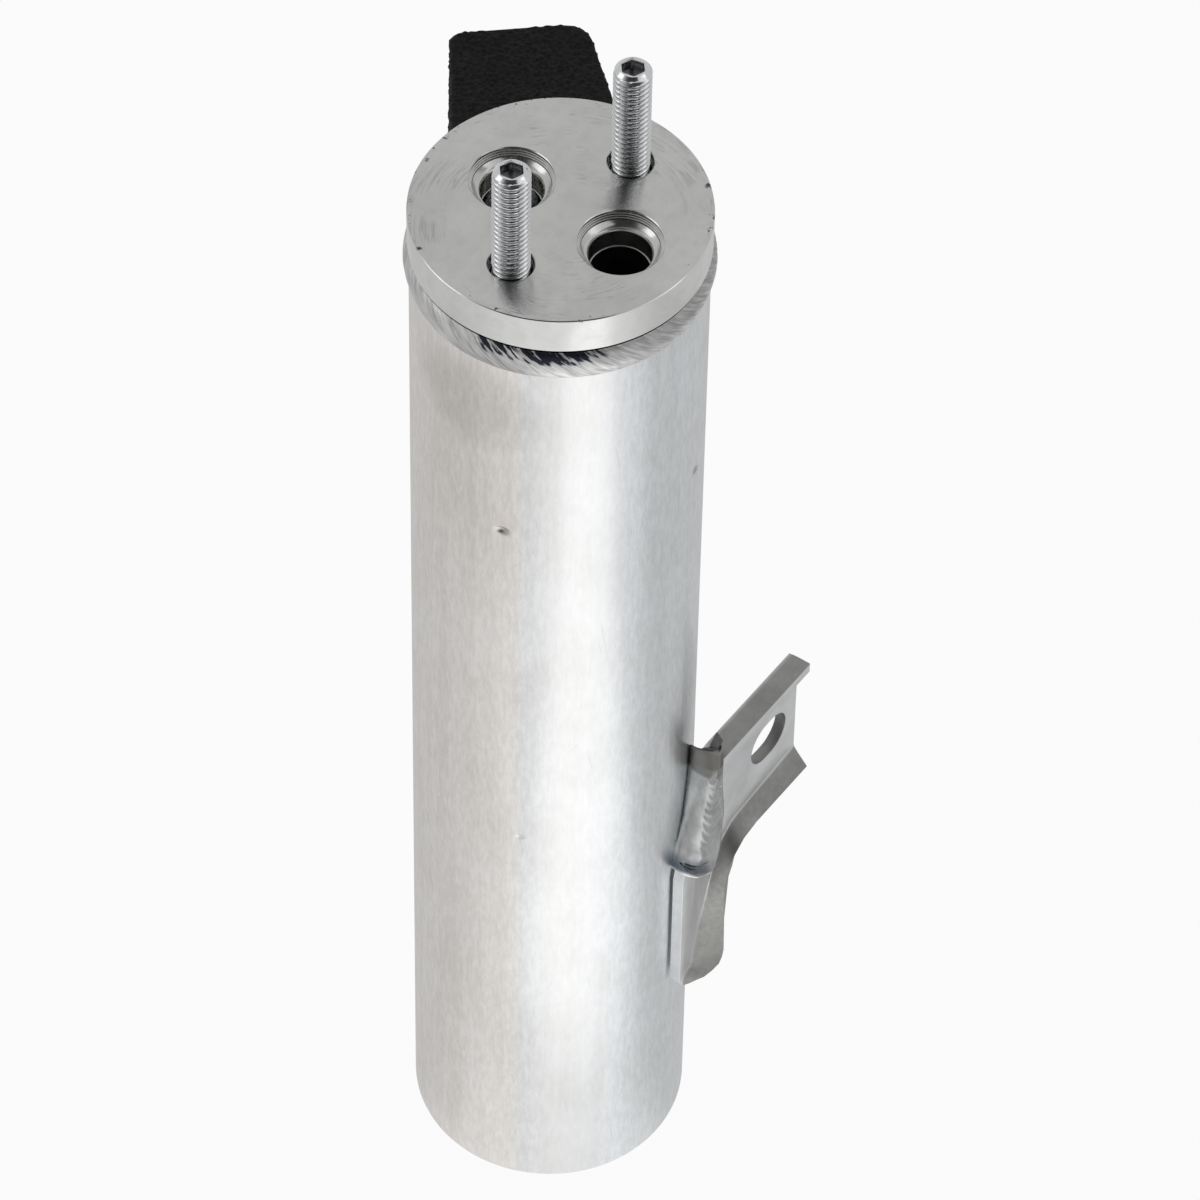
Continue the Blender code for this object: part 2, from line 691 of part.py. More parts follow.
def tube_o_ring(mat):
    mid = TUBE_R + GAP + RING_WIRE
    level = SPIGOT_END + 3.5 * MM
    profile = arc(RING_WIRE, (mid, level), 0, 360, 8)[:-1]
    return turned("tube_o_ring", profile, mat, OUTLET, 20, closed=True, angle=60)


def inlet_deflector(mat):
    """Saucer on a collar that grips the pickup tube, open side down."""
    level = SPIGOT_END - 8.0 * MM
    grip = TUBE_R + GAP
    spread = CAN_IN - FIT - math.hypot(*OUTLET) - 0.4 * MM
    profile = [(grip, level + 4.0 * MM), (grip, level - 1.0 * MM), (spread, level - 3.5 * MM)]
    profile += [(spread, level - 2.7 * MM), (grip + 1.0 * MM, level + 0.2 * MM)]
    profile += [(grip + 0.8 * MM, level + 4.0 * MM)]
    return turned("inlet_deflector", profile, mat, OUTLET, 32, closed=True)


def bed_spring(mat):
    """One open coil with closed end turns, run round outside the tube."""
    turns = 3.0
    mean = CAN_IN - 3.2 * MM
    bm = bmesh.new()
    steps = int(22 * turns)
    low = UPPER_TOP + GAP + SPRING_WIRE
    travel = SPRING_H - 2 * SPRING_WIRE - GAP
    rings = []
    for k in range(steps + 1):
        turn = 2 * math.pi * turns * k / steps
        out = Vector((math.cos(turn), math.sin(turn), 0.0))
        spot = out * mean + Vector((0.0, 0.0, low + travel * k / steps))
        ring = []
        for i in range(6):
            a = 2 * math.pi * i / 6
            lean = out * math.cos(a) + Vector((0.0, 0.0, 1.0)) * math.sin(a)
            ring.append(bm.verts.new(spot + lean * SPRING_WIRE))
        rings.append(ring)
    for k in range(steps):
        for i in range(6):
            n = (i + 1) % 6
            bm.faces.new((rings[k][i], rings[k][n], rings[k + 1][n], rings[k + 1][i]))
    bm.faces.new(rings[0])
    bm.faces.new(rings[-1])
    return finish(bm, "bed_spring", mat, angle=70)


def lower_plate(mat):
    """Perforated plate drawn with a skirt that stands on the canister floor."""
    outer = CAN_IN - FIT
    inner = outer - SKIRT
    foot = CAN_FLOOR + GAP
    profile = [(0.0, LOWER_TOP), (outer, LOWER_TOP), (outer, foot + TOE)]
    profile += [(outer - TOE, foot), (inner - TOE, foot), (inner, foot + TOE)]
    profile += [(inner, LOWER_TOP - PLATE), (0.0, LOWER_TOP - PLATE)]
    plate = turned("lower_plate", profile, mat, segments=40)
    span = (LOWER_TOP - PLATE - MM, LOWER_TOP + MM)
    cut(plate, hole_cutter("lower_plate_holes", tube_hole(), span[0], span[1], 16))
    inner_ring = [s for s in perforations() if math.hypot(*s[0]) < inner - 2.2 * MM]
    cut(plate, hole_cutter("lower_plate_mesh", inner_ring, span[0], span[1]))
    return plate


def intake_strainer(mat):
    """Cage that grips the lower end of the pickup tube, with four windows."""
    grip = TUBE_R + GAP
    wall = CAGE_WALL
    neck = CAGE_R * 0.53
    top = CAGE_TOP
    profile = [(grip, top), (grip, top - neck), (CAGE_R - wall, top - neck - 1.6 * wall)]
    profile += [(CAGE_R - wall, CAGE_LOW + wall), (0.0, CAGE_LOW + wall), (0.0, CAGE_LOW)]
    profile += [(CAGE_R, CAGE_LOW), (CAGE_R, top - neck - wall)]
    profile += [(grip + wall, top - neck + 0.5 * wall), (grip + wall, top)]
    bm = bmesh.new()
    spin_open(bm, profile, OUTLET, 32)
    cage = finish(bm, "intake_strainer", mat)
    bm = bmesh.new()
    for k in range(4):
        turn = math.radians(45.0 + 90.0 * k)
        out = Vector((math.cos(turn), math.sin(turn), 0.0))
        along = Vector((-math.sin(turn), math.cos(turn), 0.0))
        window(bm, Vector((*OUTLET, 0.0)), out, along)
    cut(cage, as_cutter(finish(bm, "cage_windows", None, smooth=False)))
    return cage


def window(bm, centre, out, along):
    """Window cutter through one side of the cage."""
    half = CAGE_R * 0.5
    near = CAGE_R - 2 * CAGE_WALL
    far = CAGE_R + CAGE_WALL
    verts = []
    for level in (CAGE_LOW + 2.8 * CAGE_WALL, CAGE_TOP - CAGE_R * 0.53 - 3.3 * CAGE_WALL):
        for a, b in ((near, -half), (far, -half), (far, half), (near, half)):
            spot = centre + out * a + along * b
            verts.append(bm.verts.new((spot.x, spot.y, level)))
    faces = [(0, 1, 2, 3), (4, 5, 6, 7), (0, 1, 5, 4), (1, 2, 6, 5), (2, 3, 7, 6), (3, 0, 4, 7)]
    for face in faces:
        bm.faces.new([verts[i] for i in face])


def spin_open(bm, profile, centre, segments):
    """Closed turned ring whose profile touches the axis at two points."""
    start = [i for i, p in enumerate(profile) if p[0] <= 0.0][-1]
    spin(bm, profile[start:] + profile[:start], centre, segments)


def strainer_mesh(mat):
    """Gauze sleeve standing inside the cage round the tube's end."""
    outer = CAGE_R - CAGE_WALL - GAP
    low = CAGE_LOW + CAGE_WALL + GAP
    high = CAGE_TOP - CAGE_R * 0.53 - 2.8 * CAGE_WALL
    inner = outer - 0.5 * MM
    profile = [(outer, low), (outer, high), (inner, high), (inner, low)]
    return turned("strainer_mesh", profile, mat, OUTLET, 28, closed=True)


def build():
    bare = material("bare_aluminium", (0.80, 0.80, 0.80), 1.0, 0.34)
    turned_al = material("turned_aluminium", (0.84, 0.84, 0.83), 1.0, 0.25)
    weld = material("weld_metal", (0.72, 0.72, 0.71), 1.0, 0.38)
    zinc = material("zinc_steel", (0.66, 0.67, 0.68), 1.0, 0.30)
    sheet = material("sheet_aluminium", (0.78, 0.78, 0.77), 1.0, 0.36)
    foam = material("black_foam", (0.012, 0.012, 0.013), 0.0, 0.95)
    film = material("adhesive_film", (0.55, 0.50, 0.38), 0.0, 0.5)
    drawn = material("drawn_tube", (0.76, 0.77, 0.78), 1.0, 0.3)
    seal = material("green_rubber", (0.02, 0.12, 0.04), 0.0, 0.5)
    pressed = material("pressed_steel", (0.60, 0.60, 0.61), 1.0, 0.4)
    wire = material("spring_wire", (0.45, 0.45, 0.46), 1.0, 0.35)
    felt = material("white_felt", (0.82, 0.81, 0.78), 0.0, 0.95)
    beads = material("sieve_beads", (0.72, 0.62, 0.50), 0.0, 0.85)
    nylon = material("natural_nylon", (0.78, 0.76, 0.68), 0.0, 0.45)
    gauze = material("wire_gauze", (0.55, 0.55, 0.56), 1.0, 0.45)
    canister(bare)
    header(turned_al)
    rim_weld(weld)
    stud("stud_front", STUD_FRONT, zinc)
    stud("stud_rear", STUD_REAR, zinc)
    mounting_bracket(sheet)
    bracket_weld(weld)
    foam_pad(foam)
    foam_adhesive(film)
    pickup_tube(drawn)
    tube_o_ring(seal)
    inlet_deflector(pressed)
    disc("retainer_plate", RETAINER_TOP - PLATE, PLATE, pressed, perforations())
    bed_spring(wire)
    disc("upper_plate", UPPER_TOP - PLATE, PLATE, pressed, perforations())
    disc("upper_felt", UPPER_FELT_TOP - FELT, FELT, felt, [])
    disc("desiccant_bed", BED_LOW, BED_TOP - BED_LOW, beads, [])
    disc("lower_felt", LOWER_FELT_TOP - FELT, FELT, felt, [])
    lower_plate(pressed)
    intake_strainer(nylon)
    strainer_mesh(gauze)


build()
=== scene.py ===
import bpy
import bmesh
import math
import numpy as np
from mathutils import Matrix, Vector, noise


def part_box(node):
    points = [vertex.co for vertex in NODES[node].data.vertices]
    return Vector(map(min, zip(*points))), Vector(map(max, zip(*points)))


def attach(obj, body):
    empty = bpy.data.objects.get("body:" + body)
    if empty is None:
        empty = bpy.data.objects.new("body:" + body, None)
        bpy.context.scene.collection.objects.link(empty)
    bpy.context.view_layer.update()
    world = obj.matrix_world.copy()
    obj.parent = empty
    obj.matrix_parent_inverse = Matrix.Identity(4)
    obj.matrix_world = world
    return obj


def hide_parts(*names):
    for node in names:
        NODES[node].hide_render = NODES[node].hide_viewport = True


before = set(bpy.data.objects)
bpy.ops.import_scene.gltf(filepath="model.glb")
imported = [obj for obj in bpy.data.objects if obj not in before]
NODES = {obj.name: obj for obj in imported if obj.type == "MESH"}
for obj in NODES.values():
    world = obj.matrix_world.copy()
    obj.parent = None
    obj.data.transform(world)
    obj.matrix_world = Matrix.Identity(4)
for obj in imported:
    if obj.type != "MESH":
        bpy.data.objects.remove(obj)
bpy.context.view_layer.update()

MM = 0.001


def mid_of(node):
    """Middle of a node's box in plan."""
    low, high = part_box(node)
    return (low[0] + high[0]) / 2, (low[1] + high[1]) / 2


# the canister and the header
CAN_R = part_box("canister")[1][0]
BODY_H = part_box("header")[1][2]         # floor to header face
CAN_WALL = 1.6 * MM
CAN_FLOOR = 3.0 * MM
CAN_FOOT = 2.0 * MM                     # radius of the bottom edge
SHOULDER = BODY_H - 6.7 * MM            # underside of the header's rim
SPIGOT_R = CAN_R - 1.9 * MM
# WELD_TOP also places the painted shade along the rim weld's top
WELD_TOP = BODY_H - 6.9 * MM            # the rim weld's soot is placed from here
STAKE_Z = BODY_H - 48.7 * MM
STAKE_TURN = -166.0                     # degrees, first of the four stakes
STAKE_SIZE, STAKE_DEPTH = 1.5 * MM, 0.62 * MM
DINGS = (                               # turn in degrees, height, size and depth in mm
    (-157.7, 91.0, 0.9, 0.25),
    (162.8, 91.2, 0.7, 0.2),
    (155.4, 98.2, 0.8, 0.2),
)

# openings in the header: (radius, height over its face) down from the face, mm
PORT_MID = (0.04 * MM, -0.95 * MM)
OUTLET = mid_of("pickup_tube")
INLET = tuple(2 * m - p for m, p in zip(PORT_MID, OUTLET))
SEAT = (
    (0.0, 2.0), (6.62, 2.0), (6.62, 0.02), (6.45, -0.12),
    (6.40, -0.45), (6.28, -0.50), (6.26, -0.80), (6.14, -0.85),
    (6.12, -1.15), (6.00, -1.20), (5.96, -1.5), (5.5, -1.95),
    (5.1, -2.2), (4.95, -2.25), (4.80, -2.45), (4.72, -2.7),
    (4.72, -5.6), (4.66, -5.72), (4.52, -5.75), (4.52, -9.4),
    (4.51, -18.5), (0.0, -18.5),
)
STUD_HOLE = (
    (0.0, 2.0), (3.62, 2.0), (3.62, 0.0), (3.5, -0.12),
    (3.5, -1.5), (3.2, -1.8), (3.2, -11.8), (0.0, -12.6),
)

# the studs' M6 thread and socket
STUDS = ("stud_front", "stud_rear")
STUD_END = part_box("stud_front")[1][2]
CREST_R, ROOT_R, THREAD_PITCH = 2.9 * MM, 2.34 * MM, 1.0 * MM
HEX_AF = 3.1 * MM                       # across the socket's flats
SOCKET_TURN = 20.0                      # degrees

# the foam pad
FOAM_TURN = 42.3                        # degrees, which way it stands out
FOAM_CORNERS = ((-14.1, 19.2), (-11.2, 51.1), (9.8, 51.1), (14.1, 19.2))  # across, out; mm
FOAM_ROUND = (2.0 * MM, 4.6 * MM)       # how far its two outer corners are rounded
FOAM_SKIN = CAN_R + 0.98 * MM           # radius of its hollow side
FOAM_HEART = 36.0 * MM                  # how far out its middle lies

# the bracket and its weld
WEB_FACE = 24.8                         # mm from the canister's axis
WEB_SKIN = 24.75                        # the weld's foot, just under that face
SLOT_X, SLOT_Z, SLOT_R, SLOT_HALF = 25.0 * MM, 82.2 * MM, 4.24 * MM, 0.6 * MM
# stations down the weld, mm: left along and up, right along and up, crown over the web, swell
BEAD = (
    (7.6, 93.5, 9.8, 98.8, 2.3, 1.4),
    (7.6, 92.2, 8.6, 95.2, 2.9, 1.7),
    (7.6, 90.4, 9.2, 90.6, 2.2, 1.8),
    (7.4, 87.4, 10.0, 86.0, 1.9, 2.2),
    (6.9, 84.2, 10.6, 82.4, 1.8, 2.6),
    (6.0, 81.0, 10.7, 79.0, 1.9, 2.5),
    (4.6, 78.2, 10.2, 75.4, 2.0, 2.1),
    (3.1, 75.8, 9.8, 72.0, 2.1, 1.3),
    (2.1, 73.2, 9.2, 69.0, 2.0, 0.8),
    (1.5, 71.0, 7.4, 66.6, 1.8, 0.5),
)
# how the weld's skin rises from the canister, at 0, to the web, at 1
LIFT_AT = (0, 0.08, 0.2, 0.35, 0.6, 0.88, 0.95, 1.0)
LIFT = (0, 0.22, 0.52, 0.82, 0.97, 1.0, 0.96, 0.66)
SQUARE_END = 0.22                       # share of the weld's length that is squared off
WELD_PITS = ((0.80, 0.30), (0.84, 0.37), (0.78, 0.47), (0.83, 0.60))

# the camera, as it was fitted to the photograph
PLAN_TURN = -54.7                       # degrees from the camera's plan to the part's
YAW, TILT, ROLL = 0.538, 49.70, 1.199
CAMERA_AT = (0.0, -744.8 * MM, 1001.6 * MM)
FOCAL_PX, PHOTO_PX, SENSOR = 7358.0, 1200.0, 36.0

# light
WORLD_LEVEL, CAMERA_SIDE_LEVEL = 0.56, 0.03
FLOOR_LEFT, FLOOR_RIGHT = 0.64, 0.62    # how bright the floor looks in reflections
HIGHLIGHT = (0.375, -0.927)             # which way the canister's bright strip faces
LAMP_AIM = (0.0, 0.0, 0.1)

SPAN = (0.3, 0.7)                       # where most of a noise's values lie

# sides of the turned shapes
CAN_SIDES, HEADER_SIDES, SEAT_SIDES, HOLE_SIDES, WELD_SIDES, STUD_SIDES = 600, 240, 96, 64, 720, 48


def turned_vec(x, y, z=0.0):
    """A direction or point of the camera's own plan, turned into the part's frame."""
    a = math.radians(PLAN_TURN)
    return Vector((x * math.cos(a) - y * math.sin(a), x * math.sin(a) + y * math.cos(a), z))


def part_way(x, start, end):
    """0 at start, 1 at end, level beyond them."""
    return min(1.0, max(0.0, (x - start) / (end - start)))


def hump(x, middle, reach):
    """Bell curve of height 1."""
    return math.exp(-((x - middle) / reach) ** 2)


def on_circle(centre, radius, turn, z):
    """Point at a radius and an angle round an upright axis."""
    return centre[0] + radius * math.cos(turn), centre[1] + radius * math.sin(turn), z


def turns_of(sides):
    """Angles of the corners of a shape with so many sides."""
    return [2 * math.pi * k / sides for k in range(sides)]


def make_camera():
    yaw, pitch, roll = (math.radians(a) for a in (YAW, TILT, ROLL))
    look = Vector((math.sin(yaw) * math.cos(pitch), math.cos(yaw) * math.cos(pitch), -math.sin(pitch)))
    level = look.cross(Vector((0, 0, 1))).normalized()
    upright = level.cross(look)
    right = level * math.cos(roll) + upright * math.sin(roll)
    up = upright * math.cos(roll) - level * math.sin(roll)
    look, right, up = (turned_vec(*v) for v in (look, right, up))
    cam = bpy.data.cameras.new("camera")
    cam.lens = SENSOR * FOCAL_PX / PHOTO_PX
    cam.sensor_width = SENSOR
    cam.clip_start = 0.05
    obj = bpy.data.objects.new("camera", cam)
    bpy.context.scene.collection.objects.link(obj)
    stance = Matrix((right, up, -look)).transposed().to_4x4()
    stance.translation = turned_vec(*CAMERA_AT)
    obj.matrix_world = stance
    bpy.context.scene.camera = obj


class Nodes:
    """Short hand for building one procedural material."""

    def __init__(self, name):
        self.mat = bpy.data.materials.new(name)
        self.mat.use_nodes = True
        self.tree = self.mat.node_tree
        self.shader = self.tree.nodes["Principled BSDF"]
        self.pos = self.new("ShaderNodeTexCoord").outputs["Object"]

    def new(self, kind, **values):
        node = self.tree.nodes.new(kind)
        for key, value in values.items():
            setattr(node, key, value)
        return node

    def link(self, out, socket):
        self.tree.links.new(out, socket)

    def put(self, socket, value):
        """A link where value is a socket, otherwise a number or a colour."""
        if isinstance(value, bpy.types.NodeSocket):
            self.link(value, socket)
        elif isinstance(value, tuple):
            socket.default_value = (*value, 1.0)
        else:
            socket.default_value = value

    def math(self, op, a, b=0.0):
        node = self.new("ShaderNodeMath", operation=op)
        self.put(node.inputs[0], a)
        self.put(node.inputs[1], b)
        return node.outputs[0]

    def add(self, a, b):
        return self.math("ADD", a, b)

    def less(self, a, b):
        return self.math("SUBTRACT", a, b)

    def product(self, a, b):
        return self.math("MULTIPLY", a, b)

    def most(self, a, b):
        return self.math("MAXIMUM", a, b)

    def length(self, a, b):
        """Distance to a point that lies a and b away along two axes."""
        return self.math("SQRT", self.add(self.product(a, a), self.product(b, b)))

    def combined(self, *parts):
        join = self.new("ShaderNodeCombineXYZ")
        for k, part in enumerate(parts):
            self.link(part, join.inputs[k])
        return join.outputs[0]

    def texture(self, place, detail=2.0, rough=0.5, scale=1.0):
        node = self.new("ShaderNodeTexNoise")
        node.inputs["Scale"].default_value = scale
        node.inputs["Detail"].default_value = detail
        node.inputs["Roughness"].default_value = rough
        self.link(place, node.inputs["Vector"])
        return node.outputs["Fac"]

    def noise(self, scale, detail=3.0, rough=0.55, upward=1.0):
        """Noise with so many features per metre, drawn out along Z where upward is under 1."""
        mapping = self.new("ShaderNodeMapping")
        mapping.inputs["Scale"].default_value = (scale, scale, scale * upward)
        self.link(self.pos, mapping.inputs["Vector"])
        return self.texture(mapping.outputs[0], detail, rough)

    def ramp(self, value, low, high, to_low=0.0, to_high=1.0, smooth=True):
        node = self.new("ShaderNodeMapRange")
        node.interpolation_type = "SMOOTHSTEP" if smooth else "LINEAR"
        self.link(value, node.inputs["Value"])
        ends = (("From Min", low), ("From Max", high), ("To Min", to_low), ("To Max", to_high))
        for key, end in ends:
            node.inputs[key].default_value = end
        return node.outputs[0]

    def fall(self, value, low, high):
        """1 up to low, fading to 0 at high."""
        return self.ramp(value, low, high, 1.0, 0.0)

    def mix(self, fac, a, b):
        node = self.new("ShaderNodeMix", data_type="RGBA")
        self.put(node.inputs["Factor"], fac)
        self.put(node.inputs["A"], a)
        self.put(node.inputs["B"], b)
        return node.outputs["Result"]

    def times(self, a, b):
        """Colour a multiplied by colour or level b."""
        node = self.new("ShaderNodeMix", data_type="RGBA", blend_type="MULTIPLY")
        node.inputs["Factor"].default_value = 1.0
        self.link(a, node.inputs["A"])
        self.link(b, node.inputs["B"])
        return node.outputs["Result"]

    def xyz(self):
        node = self.new("ShaderNodeSeparateXYZ")
        self.link(self.pos, node.inputs[0])
        return node.outputs

    def from_axis(self, x, y):
        """Distance from an upright axis."""
        p = self.xyz()
        return self.length(self.less(p[0], x), self.less(p[1], y))

    def bearing(self, way):
        """Angle round the part from a direction of the camera's plan, positive to the right."""
        p = self.xyz()
        ahead, aside = turned_vec(*way), turned_vec(-way[1], way[0])
        forth = self.add(self.product(p[0], ahead.x), self.product(p[1], ahead.y))
        across = self.add(self.product(p[0], aside.x), self.product(p[1], aside.y))
        return self.math("ARCTAN2", across, forth)

    def on_wall(self):
        """Distance round the canister from its front, and height, both in metres."""
        return self.product(self.bearing((0.0, -1.0)), CAN_R), self.xyz()[2]

    def spot(self, place, wide, high):
        """Soft oval patch on the canister, its place and reach in mm."""
        u, z = self.on_wall()
        du = self.math("DIVIDE", self.less(u, place[0] * MM), wide * MM)
        dz = self.math("DIVIDE", self.less(z, place[1] * MM), high * MM)
        return self.fall(self.add(self.product(du, du), self.product(dz, dz)), 0.0, 1.0)

    def slanted(self, lean, fine, along, detail=2.0):
        """Noise drawn out along strokes on the canister that lean over by so many degrees."""
        u, z = self.on_wall()
        c, d = math.cos(math.radians(lean)), math.sin(math.radians(lean))
        across = self.add(self.product(u, c), self.product(z, d))
        down = self.less(self.product(z, c), self.product(u, d))
        return self.texture(self.combined(self.product(across, fine), self.product(down, along)), detail)

    def bump(self, height, depth, chain=None):
        """Relief of the given depth in mm, on top of another one."""
        node = self.new("ShaderNodeBump")
        node.inputs["Strength"].default_value = 1.0
        node.inputs["Distance"].default_value = depth * MM
        self.link(height, node.inputs["Height"])
        if chain is not None:
            self.link(chain, node.inputs["Normal"])
        return node.outputs[0]

    def done(self, colour, rough, metallic=1.0, normal=None):
        self.put(self.shader.inputs["Base Color"], colour)
        self.put(self.shader.inputs["Roughness"], rough)
        self.shader.inputs["Metallic"].default_value = metallic
        if normal is not None:
            self.link(normal, self.shader.inputs["Normal"])
        return self.mat


def tube_metal():
    """Extruded aluminium: fine draw lines up the wall, cloudy patches, marks with painted shade and a
    painted reflection tint.
    """
    n = Nodes("tube_metal")
    lines = n.noise(1500, 2.0, 0.6, upward=0.012)
    broad = n.noise(420, 3.0, 0.6, upward=0.04)
    cloud = n.noise(55, 4.0, 0.6)
    tone = n.mix(n.ramp(cloud, 0.32, 0.68), (0.765, 0.76, 0.75), (0.82, 0.82, 0.815))
    tone = n.mix(n.ramp(broad, *SPAN, 0.0, 0.5), tone, (0.90, 0.905, 0.91))
    tone = marks_and_shade(n, tone, cloud)
    strokes = n.ramp(n.slanted(8.0, 2200, 70), 0.67, 0.76)
    strokes = n.most(strokes, n.ramp(n.slanted(-38.0, 1900, 80), 0.70, 0.79))
    tone = n.mix(n.product(strokes, 0.22), tone, (0.45, 0.45, 0.45))
    tone = grained(n, tone)
    rough = n.add(n.ramp(cloud, *SPAN, 0.345, 0.315), n.ramp(broad, *SPAN, -0.03, 0.03))
    normal = n.bump(lines, 0.010)
    normal = n.bump(n.noise(900, 2.0, 0.5), 0.006, normal)
    return n.done(tone, rough, 1.0, normal)


def marks_and_shade(n, tone, cloud):
    """A darker patch beside the bracket's weld, a grey cloud of painted shade and a brown cloud under the
    weld, and painted shade in the stakes.
    """
    dark_by_weld = n.product(n.spot((21.6, 74.0), 1.7, 5.5), 0.32)
    tone = n.mix(dark_by_weld, tone, (0.45, 0.45, 0.46))
    # painted shade: a darker grey cloud up the wall's left, near the top
    painted_shade = n.product(n.spot((-14.0, 190.0), 15.0, 11.0), n.ramp(cloud, *SPAN, 0.25, 0.55))
    tone = n.mix(painted_shade, tone, (0.42, 0.41, 0.39))
    brown = n.product(n.spot((-12.0, 174.0), 14.0, 28.0), n.ramp(cloud, 0.3, 0.6, 0.10, 0.40))
    tone = n.mix(brown, tone, (0.60, 0.57, 0.53))
    # painted shade in the hollows of the two stakes in sight
    for place in ((-8.2, 163.4), (27.3, 163.4)):
        tone = n.mix(n.product(n.spot(place, 1.2, 0.8), 0.5), tone, (0.24, 0.23, 0.22))
    return tone


def grained(n, tone):
    """Grain, painted fainter where the highlight falls, and a painted reflection tint that turns from warm
    to cool.
    """
    u = n.on_wall()[0]
    grain = n.noise(1300, 4.0, 0.72, upward=0.25)
    # the grain is painted fainter where the highlight falls
    in_highlight = n.product(n.ramp(u, -6 * MM, 2 * MM), n.ramp(u, 6 * MM, 13 * MM, 0.62, 0.0))
    level = n.product(n.ramp(grain, *SPAN, -0.085, 0.065), n.less(1.0, in_highlight))
    tone = n.times(tone, n.add(level, 1.0))
    # painted reflection tint: warm on the left, a slightly darker step at the highlight's left edge, plain
    # in the highlight, cool beyond it
    reflection_tint = n.mix(n.ramp(u, -6.6 * MM, -4.6 * MM), (1.03, 0.995, 0.965), (0.97, 0.98, 0.985))
    reflection_tint = n.mix(n.ramp(u, -4.6 * MM, 1.0 * MM), reflection_tint, (1.0, 1.0, 1.0))
    reflection_tint = n.mix(n.ramp(u, 3 * MM, 14 * MM), reflection_tint, (0.945, 0.975, 1.0))
    return n.times(tone, reflection_tint)


def zinc_metal(centre):
    """Zinc, bright on the thread's crests, with painted shade darkening its roots."""
    n = Nodes("zinc_metal")
    # painted shade darkens the thread's roots, but for the top end
    root = n.fall(n.from_axis(*centre), 2.35 * MM, 2.85 * MM)
    root = n.product(root, n.fall(n.xyz()[2], STUD_END - 1.5 * MM, STUD_END - 0.9 * MM))
    grain = n.noise(700, 3.0, 0.6)
    tone = n.mix(root, (0.86, 0.87, 0.88), (0.24, 0.24, 0.25))
    return n.done(tone, n.ramp(grain, *SPAN, 0.14, 0.24), 1.0, n.bump(grain, 0.004))


def weld_look():
    """Wire-brushed bead with slanted strokes, painted shade along its top under the header, and dark soot
    where it meets the header.
    """
    n = Nodes("weld_look")
    lean = 50.0
    u, z = n.on_wall()
    fine = n.slanted(lean, 2600, 260)
    coarse = n.slanted(lean, 900, 160)
    tone = n.mix(n.ramp(coarse, *SPAN), (0.60, 0.595, 0.58), (0.82, 0.82, 0.81))
    # painted shade along the weld's top under the header's rim, stronger to the right
    upper = n.ramp(z, WELD_TOP - 4.4 * MM, WELD_TOP - 1.6 * MM)
    upper = n.product(upper, n.ramp(u, -8 * MM, 10 * MM, 0.35, 0.85))
    tone = n.mix(upper, tone, (0.40, 0.405, 0.40))
    tone = n.mix(n.product(n.ramp(fine, 0.50, 0.66), 0.45), tone, (0.26, 0.26, 0.27))
    tone = n.mix(n.product(n.ramp(fine, 0.50, 0.36), 0.25), tone, (0.88, 0.88, 0.88))
    haze = n.product(n.spot((-10.0, 201.5), 8.5, 4.5), n.ramp(fine, *SPAN, 0.35, 0.75))
    tone = n.mix(haze, tone, (0.33, 0.335, 0.33))
    tone = n.mix(soot(n, lean, u, z), tone, (0.028, 0.032, 0.045))
    normal = n.bump(coarse, 0.10)
    normal = n.bump(fine, 0.05, normal)
    return n.done(tone, n.ramp(fine, *SPAN, 0.30, 0.44), 1.0, normal)


def soot(n, lean, u, z):
    """Where the weld's front is black, in strokes."""
    strokes = n.ramp(n.slanted(lean, 1500, 260, 3.0), 0.34, 0.66, 0.30, 1.60)
    front = n.product(n.ramp(u, -16 * MM, -9 * MM), n.fall(u, 0.0, 13 * MM))
    patch = n.product(front, n.ramp(z, WELD_TOP - 3.2 * MM, WELD_TOP - 0.9 * MM))
    return n.ramp(n.product(patch, strokes), 0.42, 0.85)


def header_metal():
    """Fine-turned face: faint circles, scuff arcs, nicks along the rim."""
    n = Nodes("header_metal")
    p = n.xyz()
    radius = n.length(p[0], p[1])
    rings = n.texture(n.combined(n.product(radius, 5200)))
    mottle = n.noise(420, 4.0, 0.65)
    hair = scuffs(n, p)
    tone = n.mix(n.ramp(n.noise(60, 4.0, 0.6), *SPAN), (0.70, 0.70, 0.69), (0.78, 0.78, 0.77))
    tone = n.mix(n.product(n.ramp(mottle, 0.35, 0.75), 0.35), tone, (0.60, 0.60, 0.58))
    tone = n.mix(n.product(hair, 0.45), tone, (0.40, 0.40, 0.38))
    edge = n.ramp(radius, CAN_R - 1.1 * MM, CAN_R - 0.2 * MM)
    edge = n.product(edge, n.ramp(p[2], BODY_H - 0.5 * MM, BODY_H - 0.1 * MM))
    nicks = n.product(edge, n.ramp(n.noise(520, 3.0, 0.7), 0.60, 0.66))
    tone = n.mix(nicks, tone, (0.10, 0.10, 0.10))
    normal = n.bump(rings, 0.004)
    normal = n.bump(hair, 0.006, normal)
    return n.done(tone, n.ramp(mottle, *SPAN, 0.17, 0.24), 1.0, normal)


def scuffs(n, p):
    """Broken arcs round a point beside the header's middle, on its face alone."""
    x, y = -2 * MM, -3 * MM
    turn = n.product(n.math("ARCTAN2", n.less(p[1], y), n.less(p[0], x)), 16.0)
    inward = n.ramp(n.from_axis(x, y), 0.0, CAN_R * 1.2, 1.0, 0.0, smooth=False)
    arcs = n.texture(n.combined(turn, n.product(inward, 230.0)), 1.0, scale=0.14)
    hair = n.fall(n.math("ABSOLUTE", n.less(arcs, 0.5)), 0.0, 0.06)
    hair = n.product(hair, n.ramp(n.noise(110, 3.0, 0.6), 0.46, 0.60))
    hair = n.product(hair, n.ramp(p[2], BODY_H - 0.3 * MM, BODY_H - 0.1 * MM))
    return n.product(hair, n.fall(inward, 0.70, 0.80))


